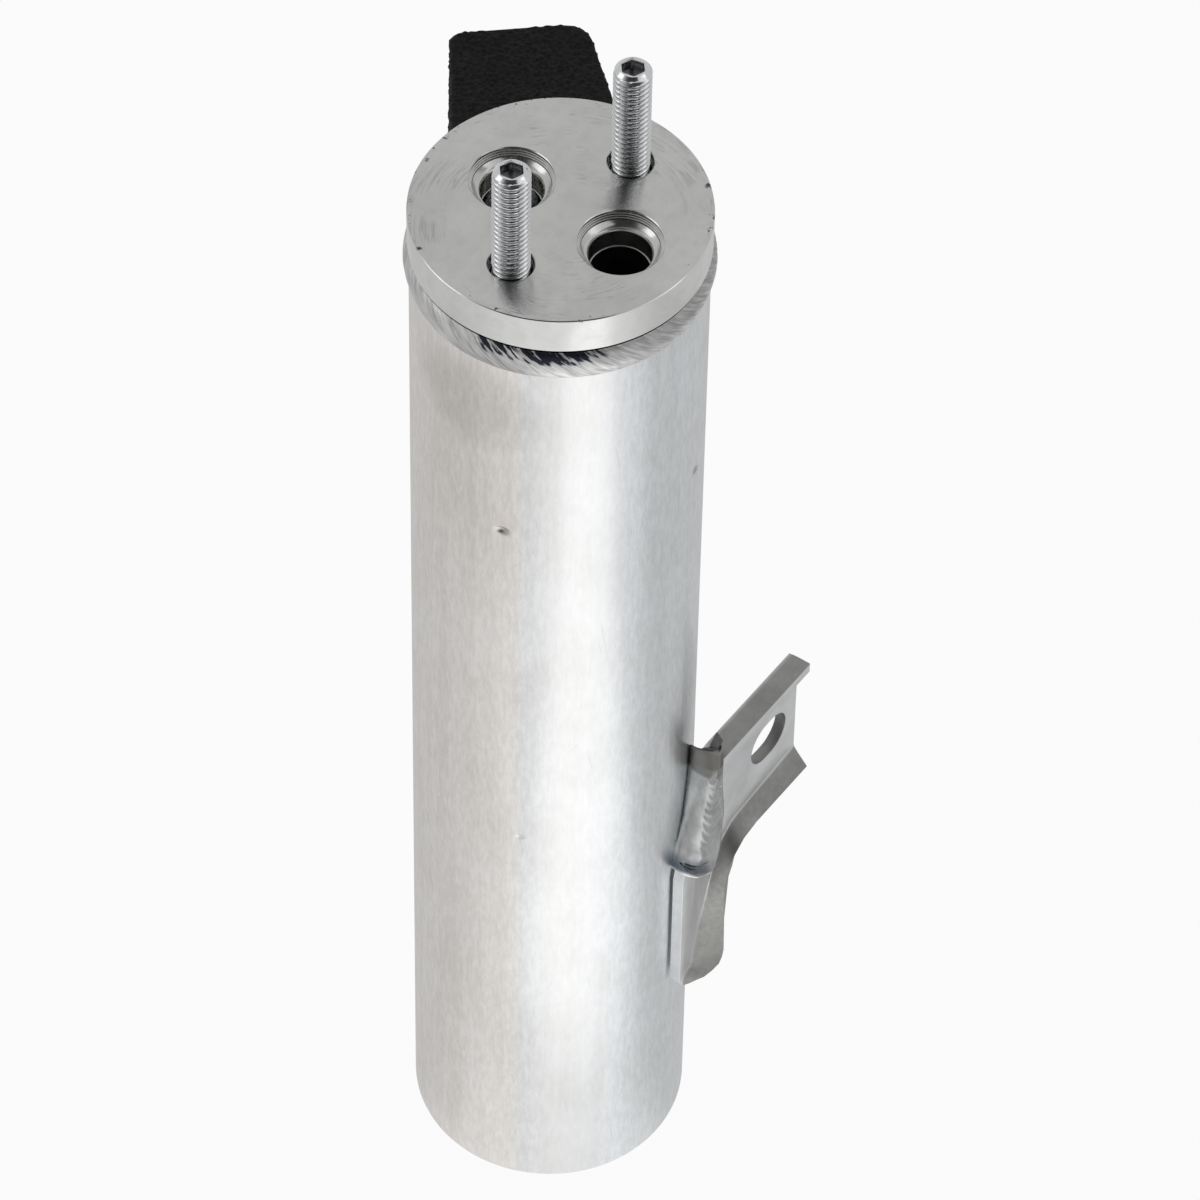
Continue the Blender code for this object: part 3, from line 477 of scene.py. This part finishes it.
def foam_look():
    """Open-cell black foam: painted shade makes the pores nearly black, the cell walls a little lighter.
    """
    n = Nodes("foam_look")
    cells = n.new("ShaderNodeTexVoronoi")
    cells.inputs["Scale"].default_value = 1400
    n.link(n.pos, cells.inputs["Vector"])
    depth = cells.outputs["Distance"]
    # painted shade: the pores are nearly black, the cell walls a little lighter
    tone = n.mix(n.ramp(depth, 0.35, 0.75), (0.002, 0.002, 0.002), (0.011, 0.011, 0.011))
    crumbs = n.ramp(n.noise(1500, 3.0, 0.7), 0.66, 0.74)
    tone = n.mix(n.product(crumbs, 0.5), tone, (0.06, 0.058, 0.055))
    return n.done(tone, 0.9, 0.0, n.bump(depth, 0.25))


def bead_metal():
    """Solidified puddle: satin grey, with painted shade towards the top and in its crater, a painted
    lighter cap and a painted highlight along the crater's lip.
    """
    n = Nodes("bead_look")
    x, _, z = n.xyz()
    flow = n.noise(260, 3.0, 0.6, upward=0.35)
    tone = n.mix(n.ramp(flow, 0.32, 0.68), (0.31, 0.315, 0.31), (0.52, 0.53, 0.53))
    # painted shade darkens the top, where it meets the bracket's lip
    tone = n.mix(n.ramp(z, 90.9 * MM, 91.8 * MM), tone, (0.17, 0.165, 0.155))
    # painted light: the topmost cap is painted lighter
    tone = n.mix(n.ramp(z, 96.6 * MM, 98.4 * MM), tone, (0.32, 0.315, 0.30))
    end = n.add(z, n.product(x, 0.62))
    # painted shade in the crater near the weld's foot
    crater_shade = n.product(n.ramp(end, 71.9 * MM, 72.5 * MM), n.fall(end, 74.2 * MM, 76.2 * MM))
    crater_shade = n.product(crater_shade, n.ramp(x, 4.6 * MM, 7.0 * MM, 1.0, 0.10))
    crater_shade = n.product(crater_shade, n.ramp(flow, 0.35, 0.6, 0.5, 1.0))
    tone = n.mix(crater_shade, tone, (0.10, 0.12, 0.15))
    # painted highlight along the crater's curled lip
    tone = n.mix(n.fall(end, 71.6 * MM, 72.0 * MM), tone, (0.86, 0.86, 0.85))
    normal = n.bump(n.noise(1600, 2.0, 0.5), 0.003)
    return n.done(tone, n.ramp(flow, *SPAN, 0.20, 0.32), 1.0, normal)


def sheet_metal():
    """Rolled sheet: light on the web; painted shade gives the flange turned out below the slot, the slot's
    wall and the lip's top a darker grey.
    """
    n = Nodes("sheet_look")
    x, y, z = n.xyz()
    mottled = n.ramp(n.noise(170, 4.0, 0.6), *SPAN)
    grain = n.noise(1300, 3.0, 0.6)
    tone = n.mix(mottled, (0.70, 0.705, 0.71), (0.80, 0.81, 0.82))
    pad = n.product(n.fall(z, 66 * MM, 72 * MM), n.ramp(x, 1.9 * MM, 3.4 * MM))
    streaks = n.ramp(n.noise(420, 2.0, 0.6, upward=0.08), *SPAN, 0.55, 1.0)
    tone = n.mix(n.product(pad, streaks), tone, (0.52, 0.525, 0.52))
    off = n.product(y, -1.0)
    # painted shade: the flange turned out below the slot, the slot's wall and the lip's top and near
    # corner take a darker grey
    flange = n.product(n.ramp(off, 24.81 * MM, 25.1 * MM), n.fall(z, 79 * MM, 84 * MM))
    reach = n.less(n.math("ABSOLUTE", n.less(x, SLOT_X)), SLOT_HALF)
    slot = n.length(n.most(reach, 0.0), n.less(z, SLOT_Z))
    shaded_flange_and_slot = n.most(flange, n.fall(slot, SLOT_R, SLOT_R + 0.06 * MM))
    corner = n.product(n.fall(x, 7.8 * MM, 8.6 * MM), n.ramp(z, 89.5 * MM, 90.5 * MM))
    lip = n.most(n.ramp(z, 95.0 * MM, 95.2 * MM), corner)
    painted_shade = n.mix(mottled, (0.34, 0.337, 0.325), (0.42, 0.417, 0.405))
    tone = n.mix(n.most(shaded_flange_and_slot, lip), tone, painted_shade)
    rough = n.add(n.ramp(grain, *SPAN, 0.36, 0.46), n.product(shaded_flange_and_slot, 0.12))
    return n.done(tone, rough, 1.0, n.bump(grain, 0.006))


def plain_metal(name, colour, rough, grain=900, depth=0.008):
    """Mottled metal for the pieces inside."""
    n = Nodes(name)
    lines = n.noise(grain, 3.0, 0.6)
    dark = tuple(c * 0.86 for c in colour)
    tone = n.mix(n.ramp(n.noise(160, 4.0, 0.6), *SPAN), dark, colour)
    return n.done(tone, n.ramp(lines, *SPAN, rough - 0.05, rough + 0.06), 1.0, n.bump(lines, depth))


def plain_matte(name, colour, rough, grain=600, depth=0.05):
    """Mottled plastic, rubber or felt for the pieces inside."""
    n = Nodes(name)
    spots = n.noise(grain, 4.0, 0.6)
    dark = tuple(c * 0.7 for c in colour)
    tone = n.mix(n.ramp(spots, *SPAN), dark, colour)
    return n.done(tone, rough, 0.0, n.bump(spots, depth))


def dress_nodes():
    """Materials for the nodes that no piece below replaces."""
    pressed = plain_metal("pressed_metal", (0.60, 0.60, 0.61), 0.4)
    felt = plain_matte("felt", (0.82, 0.81, 0.78), 0.95, 1500, 0.2)
    looks = {
        "foam_adhesive": plain_matte("film", (0.55, 0.50, 0.38), 0.5),
        "pickup_tube": plain_metal("drawn_tube", (0.76, 0.77, 0.78), 0.3),
        "tube_o_ring": plain_matte("seal_rubber", (0.02, 0.12, 0.04), 0.5),
        "inlet_deflector": pressed,
        "retainer_plate": pressed,
        "bed_spring": plain_metal("wire_metal", (0.45, 0.45, 0.46), 0.35),
        "upper_plate": pressed,
        "upper_felt": felt,
        "desiccant_bed": plain_matte("sieve_beads", (0.72, 0.62, 0.50), 0.85, 900, 0.4),
        "lower_felt": felt,
        "lower_plate": pressed,
        "intake_strainer": plain_matte("nylon", (0.78, 0.76, 0.68), 0.45, 300, 0.01),
        "strainer_mesh": plain_metal("gauze", (0.55, 0.55, 0.56), 0.45, 3000, 0.1),
    }
    for name, mat in looks.items():
        NODES[name].data.materials.clear()
        NODES[name].data.materials.append(mat)


def mesh_from(bm, name, mat, angle=35.0):
    """Object from bm, smooth but for edges sharper than the angle."""
    bmesh.ops.recalc_face_normals(bm, faces=bm.faces)
    mesh = bpy.data.meshes.new(name)
    bm.to_mesh(mesh)
    bm.free()
    mesh.materials.append(mat)
    mesh.shade_smooth()
    mesh.set_sharp_from_angle(angle=math.radians(angle))
    obj = bpy.data.objects.new(name, mesh)
    bpy.context.scene.collection.objects.link(obj)
    return obj


def stands_for(obj, node):
    """Puts obj in the place of a CAD node."""
    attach(obj, "root")
    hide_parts(node)


def grid_faces(bm, rows):
    """Quads between rings of vertices; a ring of one vertex closes to a point."""
    for low, high in zip(rows, rows[1:]):
        count = max(len(low), len(high))
        for k in range(count):
            n = (k + 1) % count
            if len(low) == 1:
                bm.faces.new((low[0], high[n], high[k]))
            elif len(high) == 1:
                bm.faces.new((low[k], low[n], high[0]))
            else:
                bm.faces.new((low[k], low[n], high[n], high[k]))


def lathe(name, profile, centre, mat, sides):
    """Turned solid from (radius, height) points."""
    bm = bmesh.new()
    rows = []
    for radius, height in profile:
        turns = turns_of(sides if radius > 0.0 else 1)
        rows.append([bm.verts.new(on_circle(centre, radius, turn, height)) for turn in turns])
    grid_faces(bm, rows)
    return mesh_from(bm, name, mat)


def carve(obj, name, profile, centre, sides):
    """Takes a turned shape, given over the header's face in mm, out of obj for good."""
    points = [(r * MM, BODY_H + z * MM) for r, z in profile]
    cutter = lathe(name, points, centre, obj.data.materials[0], sides)
    mod = obj.modifiers.new("carve", "BOOLEAN")
    mod.operation = "DIFFERENCE"
    mod.solver = "EXACT"
    mod.object = cutter
    bpy.context.view_layer.update()
    graph = bpy.context.evaluated_depsgraph_get()
    mesh = bpy.data.meshes.new_from_object(obj.evaluated_get(graph))
    obj.modifiers.clear()
    obj.data = mesh
    bpy.data.objects.remove(cutter, do_unlink=True)


def stud(node):
    """M6 stud: rolled thread over its whole length, hexagon socket in its end."""
    low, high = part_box(node)
    centre = mid_of(node)
    rows_per_turn = 12
    end_cut, end_slope, foot_cut = 0.80 * MM, 0.9, 0.55 * MM
    bm = bmesh.new()
    rows = [[bm.verts.new((*centre, low[2]))]]
    count = int(round((high[2] - low[2]) / THREAD_PITCH * rows_per_turn))
    for i in range(count + 1):
        z = low[2] + (high[2] - low[2]) * i / count
        chamfer = min(CREST_R - end_cut + end_slope * (high[2] - z), CREST_R - foot_cut + (z - low[2]))
        row = []
        for k, turn in enumerate(turns_of(STUD_SIDES)):
            phase = abs(((z / THREAD_PITCH - k / STUD_SIDES) % 1.0) - 0.5) * 2
            r = CREST_R - (CREST_R - ROOT_R) * part_way(phase, 0.18, 0.78)
            row.append(bm.verts.new(on_circle(centre, min(r, chamfer), turn, z)))
        rows.append(row)
    # the socket: its broken edge, its mouth and its floor, in mm
    for grow, drop in ((0.14, 0.0), (0.0, 0.25), (0.0, 1.9)):
        row = []
        for turn in turns_of(STUD_SIDES):
            wedge = (turn + math.radians(SOCKET_TURN)) % (math.pi / 3) - math.pi / 6
            r = HEX_AF / 2 / math.cos(wedge) + grow * MM
            row.append(bm.verts.new(on_circle(centre, r, turn, high[2] - drop * MM)))
        rows.append(row)
    rows.append([bm.verts.new((*centre, high[2] - 2.3 * MM))])
    grid_faces(bm, rows)
    obj = mesh_from(bm, node + "_thread", zinc_metal(centre), 40.0)
    stands_for(obj, node)


def header():
    """Turned header with finely stepped port seats and a broken rim."""
    low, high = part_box("header")
    rim = high[0]
    profile = [
        (0.0, BODY_H),
        (rim - 0.35 * MM, BODY_H),
        (rim - 0.14 * MM, BODY_H - 0.06 * MM),
        (rim - 0.03 * MM, BODY_H - 0.18 * MM),
        (rim, BODY_H - 0.4 * MM),
        (rim, SHOULDER + 0.3 * MM),
        (rim - 0.2 * MM, SHOULDER),
        (SPIGOT_R, SHOULDER),
        (SPIGOT_R, low[2] + 0.6 * MM),
        (SPIGOT_R - 0.6 * MM, low[2]),
        (0.0, low[2]),
    ]
    disc = lathe("header_turned", profile, (0.0, 0.0), header_metal(), HEADER_SIDES)
    for centre in (OUTLET, INLET):
        carve(disc, "seat", SEAT, centre, SEAT_SIDES)
    for node in STUDS:
        carve(disc, "hole", STUD_HOLE, mid_of(node), HOLE_SIDES)
    disc.data.shade_smooth()
    disc.data.set_sharp_from_angle(angle=math.radians(28))
    stands_for(disc, "header")


def rim_weld():
    """Bead round the header: swelling, slightly uneven, with slanted ripples."""
    low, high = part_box("rim_weld")
    inner, lap = CAN_R - 1.5 * MM, CAN_R + 0.02 * MM
    widest = high[0] - CAN_R
    turns, steps = turns_of(WELD_SIDES), 26
    unevenness, stroke_depth = 0.12, 0.05 * MM
    bm = bmesh.new()
    rows = []
    for i in range(steps + 1):
        t = i / steps
        z = low[2] + (high[2] - low[2]) * t
        swell = math.sin(math.pi * min(1.0, t * 1.02)) ** 0.75
        row = []
        for turn in turns:
            wave = noise.noise(Vector((math.cos(turn) * 2.2, math.sin(turn) * 2.2, t * 1.5)))
            stroke = noise.noise(Vector((turn * 26 + t * 3.2, t * 1.4, 3.0)))
            r = lap + widest * swell * (1.0 - unevenness + unevenness * wave)
            r += stroke_depth * (stroke - 1.0) * swell
            row.append(bm.verts.new(on_circle((0.0, 0.0), min(r, high[0]), turn, z)))
        rows.append(row)
    for z in (high[2], low[2]):
        rows.append([bm.verts.new(on_circle((0.0, 0.0), inner, turn, z)) for turn in turns])
    grid_faces(bm, rows + [rows[0]])
    stands_for(mesh_from(bm, "rim_weld_bead", weld_look(), 60.0), "rim_weld")


def ding(u, v, size, depth):
    """Depth of a small dent at u, v from its middle, with a faint raised rim."""
    flatness, rim = 0.7, 0.06
    q = (u / size) ** 2 + (v / (size * flatness)) ** 2
    if q > 4.0:
        return 0.0
    hollow = (1 - q) ** 2 if q < 1 else 0.0
    return depth * (hollow - rim * hump(q, 1.5, 0.6))


def wall_levels(marks, top):
    """Heights of the wall's rings, close together at the marks."""
    fine, coarse, reach = 0.25 * MM, 2.0 * MM, 2.6 * MM
    levels = {top}
    z = CAN_FOOT + 3 * MM
    while z < top:
        levels.add(z)
        near = min(abs(z - mark[1]) for mark in marks)
        z += fine if near < reach else coarse
    return sorted(levels)


def canister():
    """Extruded wall in fine steps, with the four stakes and the small dings."""
    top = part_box("canister")[1][2]
    marks = [(math.radians(STAKE_TURN + 90 * k), STAKE_Z, STAKE_SIZE, STAKE_DEPTH) for k in range(4)]
    marks += [(math.radians(t), z * MM, size * MM, deep * MM) for t, z, size, deep in DINGS]
    profile = [(0.0, 0.0), (10 * MM, 0.0)]
    for k in range(9):
        a = math.radians(-90 + 90 * k / 8)
        profile.append((CAN_R - CAN_FOOT + CAN_FOOT * math.cos(a), CAN_FOOT + CAN_FOOT * math.sin(a)))
    profile += [(CAN_R, z) for z in wall_levels(marks, top)]
    profile += [(CAN_R - CAN_WALL, top), (CAN_R - CAN_WALL, CAN_FLOOR + 2 * MM), (0.0, CAN_FLOOR)]
    bm = bmesh.new()
    rows = []
    for radius, z in profile:
        outside = radius >= CAN_R - 0.01 * MM
        near = [m for m in marks if outside and abs(z - m[1]) < 2.2 * m[2]]
        row = []
        for turn in turns_of(CAN_SIDES if radius > 0.0 else 1):
            r = radius
            for at, height, size, depth in near:
                off = (turn - at + math.pi) % (2 * math.pi) - math.pi
                if abs(off) < 0.3:
                    r -= ding(off * CAN_R, z - height, size, depth)
            row.append(bm.verts.new(on_circle((0.0, 0.0), r, turn, z)))
        rows.append(row)
    grid_faces(bm, rows)
    obj = mesh_from(bm, "canister_wall", tube_metal(), 60.0)
    stands_for(obj, "canister")


def rounded(corners, reaches, steps=8):
    """Open path through corners, the inner ones turned into curves."""
    points = [corners[0]]
    for back, here, ahead, reach in zip(corners, corners[1:], corners[2:], reaches):
        start = here + (back - here).normalized() * reach
        end = here + (ahead - here).normalized() * reach
        for k in range(steps + 1):
            t = k / steps
            points.append(start * (1 - t) ** 2 + here * 2 * t * (1 - t) + end * t ** 2)
    return points + [corners[-1]]


def even(points, count):
    """The same path in steps of one length."""
    ends = [0.0]
    for a, b in zip(points, points[1:]):
        ends.append(ends[-1] + (b - a).length)
    want = np.linspace(0, ends[-1], count)
    xs = np.interp(want, ends, [p[0] for p in points])
    ys = np.interp(want, ends, [p[1] for p in points])
    return [Vector((x, y)) for x, y in zip(xs, ys)]


def foam_ring():
    """The pad's outline in plan: (across, out)."""
    free_points, hollow_steps = 150, 60
    corners = [Vector(c) * MM for c in FOAM_CORNERS]
    outer = even(rounded(corners, FOAM_ROUND), free_points)
    half = math.asin(corners[-1][0] / FOAM_SKIN)
    turns = [half * (1 - 2 * k / hollow_steps) for k in range(1, hollow_steps)]
    return outer + [Vector((FOAM_SKIN * math.sin(a), FOAM_SKIN * math.cos(a))) for a in turns]


def foam_rings(low, high):
    """(share of the outline, height) of each ring: across the foot, up the sides, across the top."""
    under, sides, top, edge = 26, 66, 44, 0.5 * MM
    plan = [(k / under, low) for k in range(1, under)]
    plan += [(1.0, low + edge + (high - low - 2 * edge) * k / sides) for k in range(sides + 1)]
    return plan + [(k / top, high) for k in range(top - 1, 0, -1)]


def pit(bm):
    """Open pores and uneven faces, but for the side on the canister."""
    pores_per_m, waves_per_m = 1150, 170
    pore_depth, wave_depth, deepest = 0.42 * MM, 0.30 * MM, 0.9 * MM
    bm.normal_update()
    for vert in bm.verts:
        if math.hypot(vert.co.x, vert.co.y) < FOAM_SKIN + 0.3 * MM:
            continue
        pore = max(0.0, 1.0 - noise.voronoi(vert.co * pores_per_m)[0][0] * 2.1)
        wave = max(0.0, noise.noise(vert.co * waves_per_m))
        deep = pore_depth * pore + wave_depth * wave + 0.02 * MM
        vert.co -= vert.normal * min(deep, deepest)
        radial = math.hypot(vert.co.x, vert.co.y)
        if radial < FOAM_SKIN:
            vert.co.x *= FOAM_SKIN / radial
            vert.co.y *= FOAM_SKIN / radial


def foam_pad():
    """Open-cell block: pores are pitted into every free face."""
    low, high = (corner[2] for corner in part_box("foam_pad"))
    middle = Vector((0.0, FOAM_HEART))
    turn = math.radians(FOAM_TURN)
    out = Vector((math.cos(turn), math.sin(turn), 0.0))
    side = Vector((math.sin(turn), -math.cos(turn), 0.0))
    bm = bmesh.new()
    rows = [[bm.verts.new(out * middle[1] + Vector((0, 0, low)))]]
    ring = foam_ring()
    for grow, z in foam_rings(low, high):
        spread = [middle + (p - middle) * grow for p in ring]
        rows.append([bm.verts.new(side * q[0] + out * q[1] + Vector((0, 0, z))) for q in spread])
    rows.append([bm.verts.new(out * middle[1] + Vector((0, 0, high)))])
    grid_faces(bm, rows)
    pit(bm)
    obj = mesh_from(bm, "foam_block", foam_look(), 80.0)
    stands_for(obj, "foam_pad")


def bracket():
    """The pressed sheet with its edges broken, as pressing leaves them."""
    node = NODES["mounting_bracket"]
    flat, corner, broken = math.radians(0.6), math.radians(48), 0.22 * MM
    bm = bmesh.new()
    bm.from_mesh(node.data)
    bm.transform(node.matrix_world)
    bmesh.ops.remove_doubles(bm, verts=bm.verts, dist=0.002 * MM)
    bmesh.ops.dissolve_limit(bm, angle_limit=flat, verts=bm.verts, edges=bm.edges)
    sharp = [e for e in bm.edges if len(e.link_faces) == 2 and e.calc_face_angle() > corner]
    bmesh.ops.bevel(
        bm, geom=sharp, offset=broken, segments=3,
        profile=0.5, affect="EDGES", clamp_overlap=True,
    )
    obj = mesh_from(bm, "bracket_sheet", sheet_metal(), 30.0)
    stands_for(obj, "mounting_bracket")


def bead_station(t):
    """The row of BEAD at a share of the weld's length."""
    stations = np.linspace(0.0, 1.0, len(BEAD))
    return [float(np.interp(t, stations, column)) for column in zip(*BEAD)]


def wall_at(along):
    """How far out the canister's wall lies beside its middle, mm."""
    return math.sqrt((CAN_R / MM) ** 2 - along ** 2)


def bead_relief(u, t, up):
    """What the puddles, the crater and the pits add to the weld's height, mm."""
    arch = math.sin(math.pi * u)
    # puddle rims sag in deep arcs towards the lower end
    sag = 1.0 - ((u - 0.58) / 0.42) ** 2
    phase = (t * 26.0 - 4.6 * sag) / 1.7 + 0.6 * noise.noise(Vector((u * 1.5, t * 5.0, 5.0)))
    ridge = (0.5 + 0.5 * math.cos(2 * math.pi * phase)) ** 1.3
    fade = math.sin(math.pi * min(1.0, u * 1.05)) * part_way(u, 1.0, 0.8)
    fade *= part_way(t, 0.78, 0.64) * part_way(t, 0.13, 0.18)
    ripple, unevenness = 0.10, 0.16
    height = ripple * ridge * fade
    height += unevenness * noise.noise(Vector((u * 2.6, t * 7.0, 2.0))) * arch
    # a swell over the crater, the crater, then the curled lip
    rim = 0.905 + 0.045 * arch + 0.010 * math.sin(7 * u)
    height += 0.35 * hump(t, 0.80, 0.045) * hump(u, 0.45, 0.30)
    height -= 0.95 * hump(t, rim - 0.028, 0.024) * hump(u, 0.33, 0.30)
    height += 0.45 * hump(t, rim + 0.032, 0.022) * (0.35 + 0.65 * arch)
    # a ridge where the top painted darker as shade begins, and pits along the web's side
    height += 0.28 * hump(up + 1.2 * u, 91.4, 0.45) * arch
    for pit_u, pit_t in WELD_PITS:
        height -= 0.30 * hump(u, pit_u, 0.045) * hump(t, pit_t, 0.012)
    return height


def bead_pair(u, t):
    """Points of the weld's foot and skin: u from the canister to the web, t from the top down."""
    left, left_up, right, right_up, crown, swell = bead_station(t)
    square = part_way(t, SQUARE_END, 0.0)
    along = left + (right - left) * u
    up = left_up + (right_up - left_up) * u ** (1.0 - 0.75 * square)
    wall = wall_at(left)
    foot = WEB_SKIN if u > 0.1 else min(wall - 0.3, WEB_SKIN)
    belly = square * (1.0 - abs(2 * u - 1) ** 6) + (1.0 - square) * math.sin(math.pi * u ** 0.55)
    lift = float(np.interp(u, LIFT_AT, LIFT)) ** (1.0 - 0.62 * part_way(t, 0.70, 0.92))
    skin = wall - 0.15
    off = skin + (WEB_FACE + crown - skin) * lift + bead_relief(u, t, up)
    return Vector((along, -foot, up)) * MM, Vector((along - swell * belly, -off, up)) * MM


def bead():
    """Weld over the bracket's root: rippled crown, open crater at its foot."""
    across, down, ending = 48, 260, 8
    bm = bmesh.new()
    rows = []
    for i in range(down + 1):
        pairs = [bead_pair(k / across, i / down) for k in range(across + 1)]
        full = math.sqrt(1.0 - (1.0 - min(1.0, i / ending)) ** 2)
        crown = [foot.lerp(skin, 0.82 + 0.18 * full) for foot, skin in pairs]
        back = [foot for foot, _ in pairs][::-8]
        rows.append([bm.verts.new(point) for point in crown + back])
    grid_faces(bm, rows)
    bm.faces.new(rows[0])
    bm.faces.new(rows[-1])
    stands_for(mesh_from(bm, "bracket_bead", bead_metal(), 60.0), "bracket_weld")


def floor_material():
    """White to the eye. Mirror-like surfaces see it a little greyer to either side."""
    n = Nodes("floor_white")
    n.done((0.86, 0.86, 0.86), 0.6, 0.0)
    path = n.new("ShaderNodeLightPath")
    bearing = n.bearing(HIGHLIGHT)
    left = n.ramp(bearing, -2.0, -0.25, FLOOR_LEFT, 1.0)
    right = n.ramp(bearing, 0.15, 1.0, 1.0, FLOOR_RIGHT)
    seen = n.math("MINIMUM", left, right)
    camera = path.outputs["Is Camera Ray"]
    glow = n.new("ShaderNodeEmission")
    n.link(n.add(camera, n.product(seen, n.less(1.0, camera))), glow.inputs["Strength"])
    both = n.most(path.outputs["Is Glossy Ray"], path.outputs["Is Transmission Ray"])
    mix = n.new("ShaderNodeMixShader")
    n.link(n.product(n.most(camera, both), 0.94), mix.inputs[0])
    n.link(n.shader.outputs[0], mix.inputs[1])
    n.link(glow.outputs[0], mix.inputs[2])
    n.link(mix.outputs[0], n.tree.nodes["Material Output"].inputs["Surface"])
    return n.mat


def make_floor():
    half, under = 3.0, -0.2 * MM
    bm = bmesh.new()
    for x, y in ((-1, -1), (1, -1), (1, 1), (-1, 1)):
        bm.verts.new((x * half, y * half, under))
    bm.faces.new(bm.verts)
    mesh = bpy.data.meshes.new("floor")
    bm.to_mesh(mesh)
    bm.free()
    mesh.materials.append(floor_material())
    floor = bpy.data.objects.new("floor", mesh)
    bpy.context.scene.collection.objects.link(floor)


def make_world():
    """Even grey surroundings, darker where the camera stands; white for the eye."""
    world = bpy.data.worlds.new("world")
    bpy.context.scene.world = world
    world.use_nodes = True
    tree = world.node_tree
    back = tree.nodes["Background"]
    place = tree.nodes.new("ShaderNodeTexCoord")
    dot = tree.nodes.new("ShaderNodeVectorMath")
    dot.operation = "DOT_PRODUCT"
    tree.links.new(place.outputs["Generated"], dot.inputs[0])
    dot.inputs[1].default_value = turned_vec(0.08, -0.66, 0.75).normalized()
    level = tree.nodes.new("ShaderNodeMapRange")
    level.interpolation_type = "SMOOTHSTEP"
    tree.links.new(dot.outputs["Value"], level.inputs["Value"])
    ends = (("From Min", 0.45), ("From Max", 0.88), ("To Min", WORLD_LEVEL), ("To Max", CAMERA_SIDE_LEVEL))
    for key, end in ends:
        level.inputs[key].default_value = end
    back.inputs["Color"].default_value = (1, 1, 1, 1)
    tree.links.new(level.outputs[0], back.inputs["Strength"])
    white = tree.nodes.new("ShaderNodeBackground")
    path = tree.nodes.new("ShaderNodeLightPath")
    mix = tree.nodes.new("ShaderNodeMixShader")
    tree.links.new(path.outputs["Is Camera Ray"], mix.inputs[0])
    tree.links.new(back.outputs[0], mix.inputs[1])
    tree.links.new(white.outputs[0], mix.inputs[2])
    tree.links.new(mix.outputs[0], tree.nodes["World Output"].inputs["Surface"])


def area(name, place, size, power):
    """Soft panel turned to the part; place is in the camera's plan, in metres."""
    light = bpy.data.lights.new(name, "AREA")
    light.shape = "RECTANGLE"
    light.size, light.size_y = size
    light.energy = power
    obj = bpy.data.objects.new(name, light)
    bpy.context.scene.collection.objects.link(obj)
    obj.location = turned_vec(*place)
    aim = turned_vec(*LAMP_AIM) - obj.location
    obj.rotation_euler = aim.to_track_quat("-Z", "Y").to_euler()
    obj.visible_camera = False
    return obj


def make_lights():
    area("key", (0.75, -0.35, 0.85), (0.9, 1.0), 1.6)
    area("left", (-0.9, -0.1, 0.6), (0.5, 0.9), 1.0)
    # a low strip on the floor that shines straight up, with its long side along the highlight
    strip = area("low_strip", (0.079, -0.195, 0.002), (0.32, 0.11), 0.032)
    ahead = turned_vec(*HIGHLIGHT)
    strip.rotation_euler = (math.pi, 0.0, math.atan2(ahead.y, ahead.x))


make_camera()
dress_nodes()
for node in STUDS:
    stud(node)
header()
rim_weld()
canister()
foam_pad()
bracket()
bead()
make_floor()
make_world()
make_lights()
bpy.context.scene.view_settings.view_transform = "Standard"
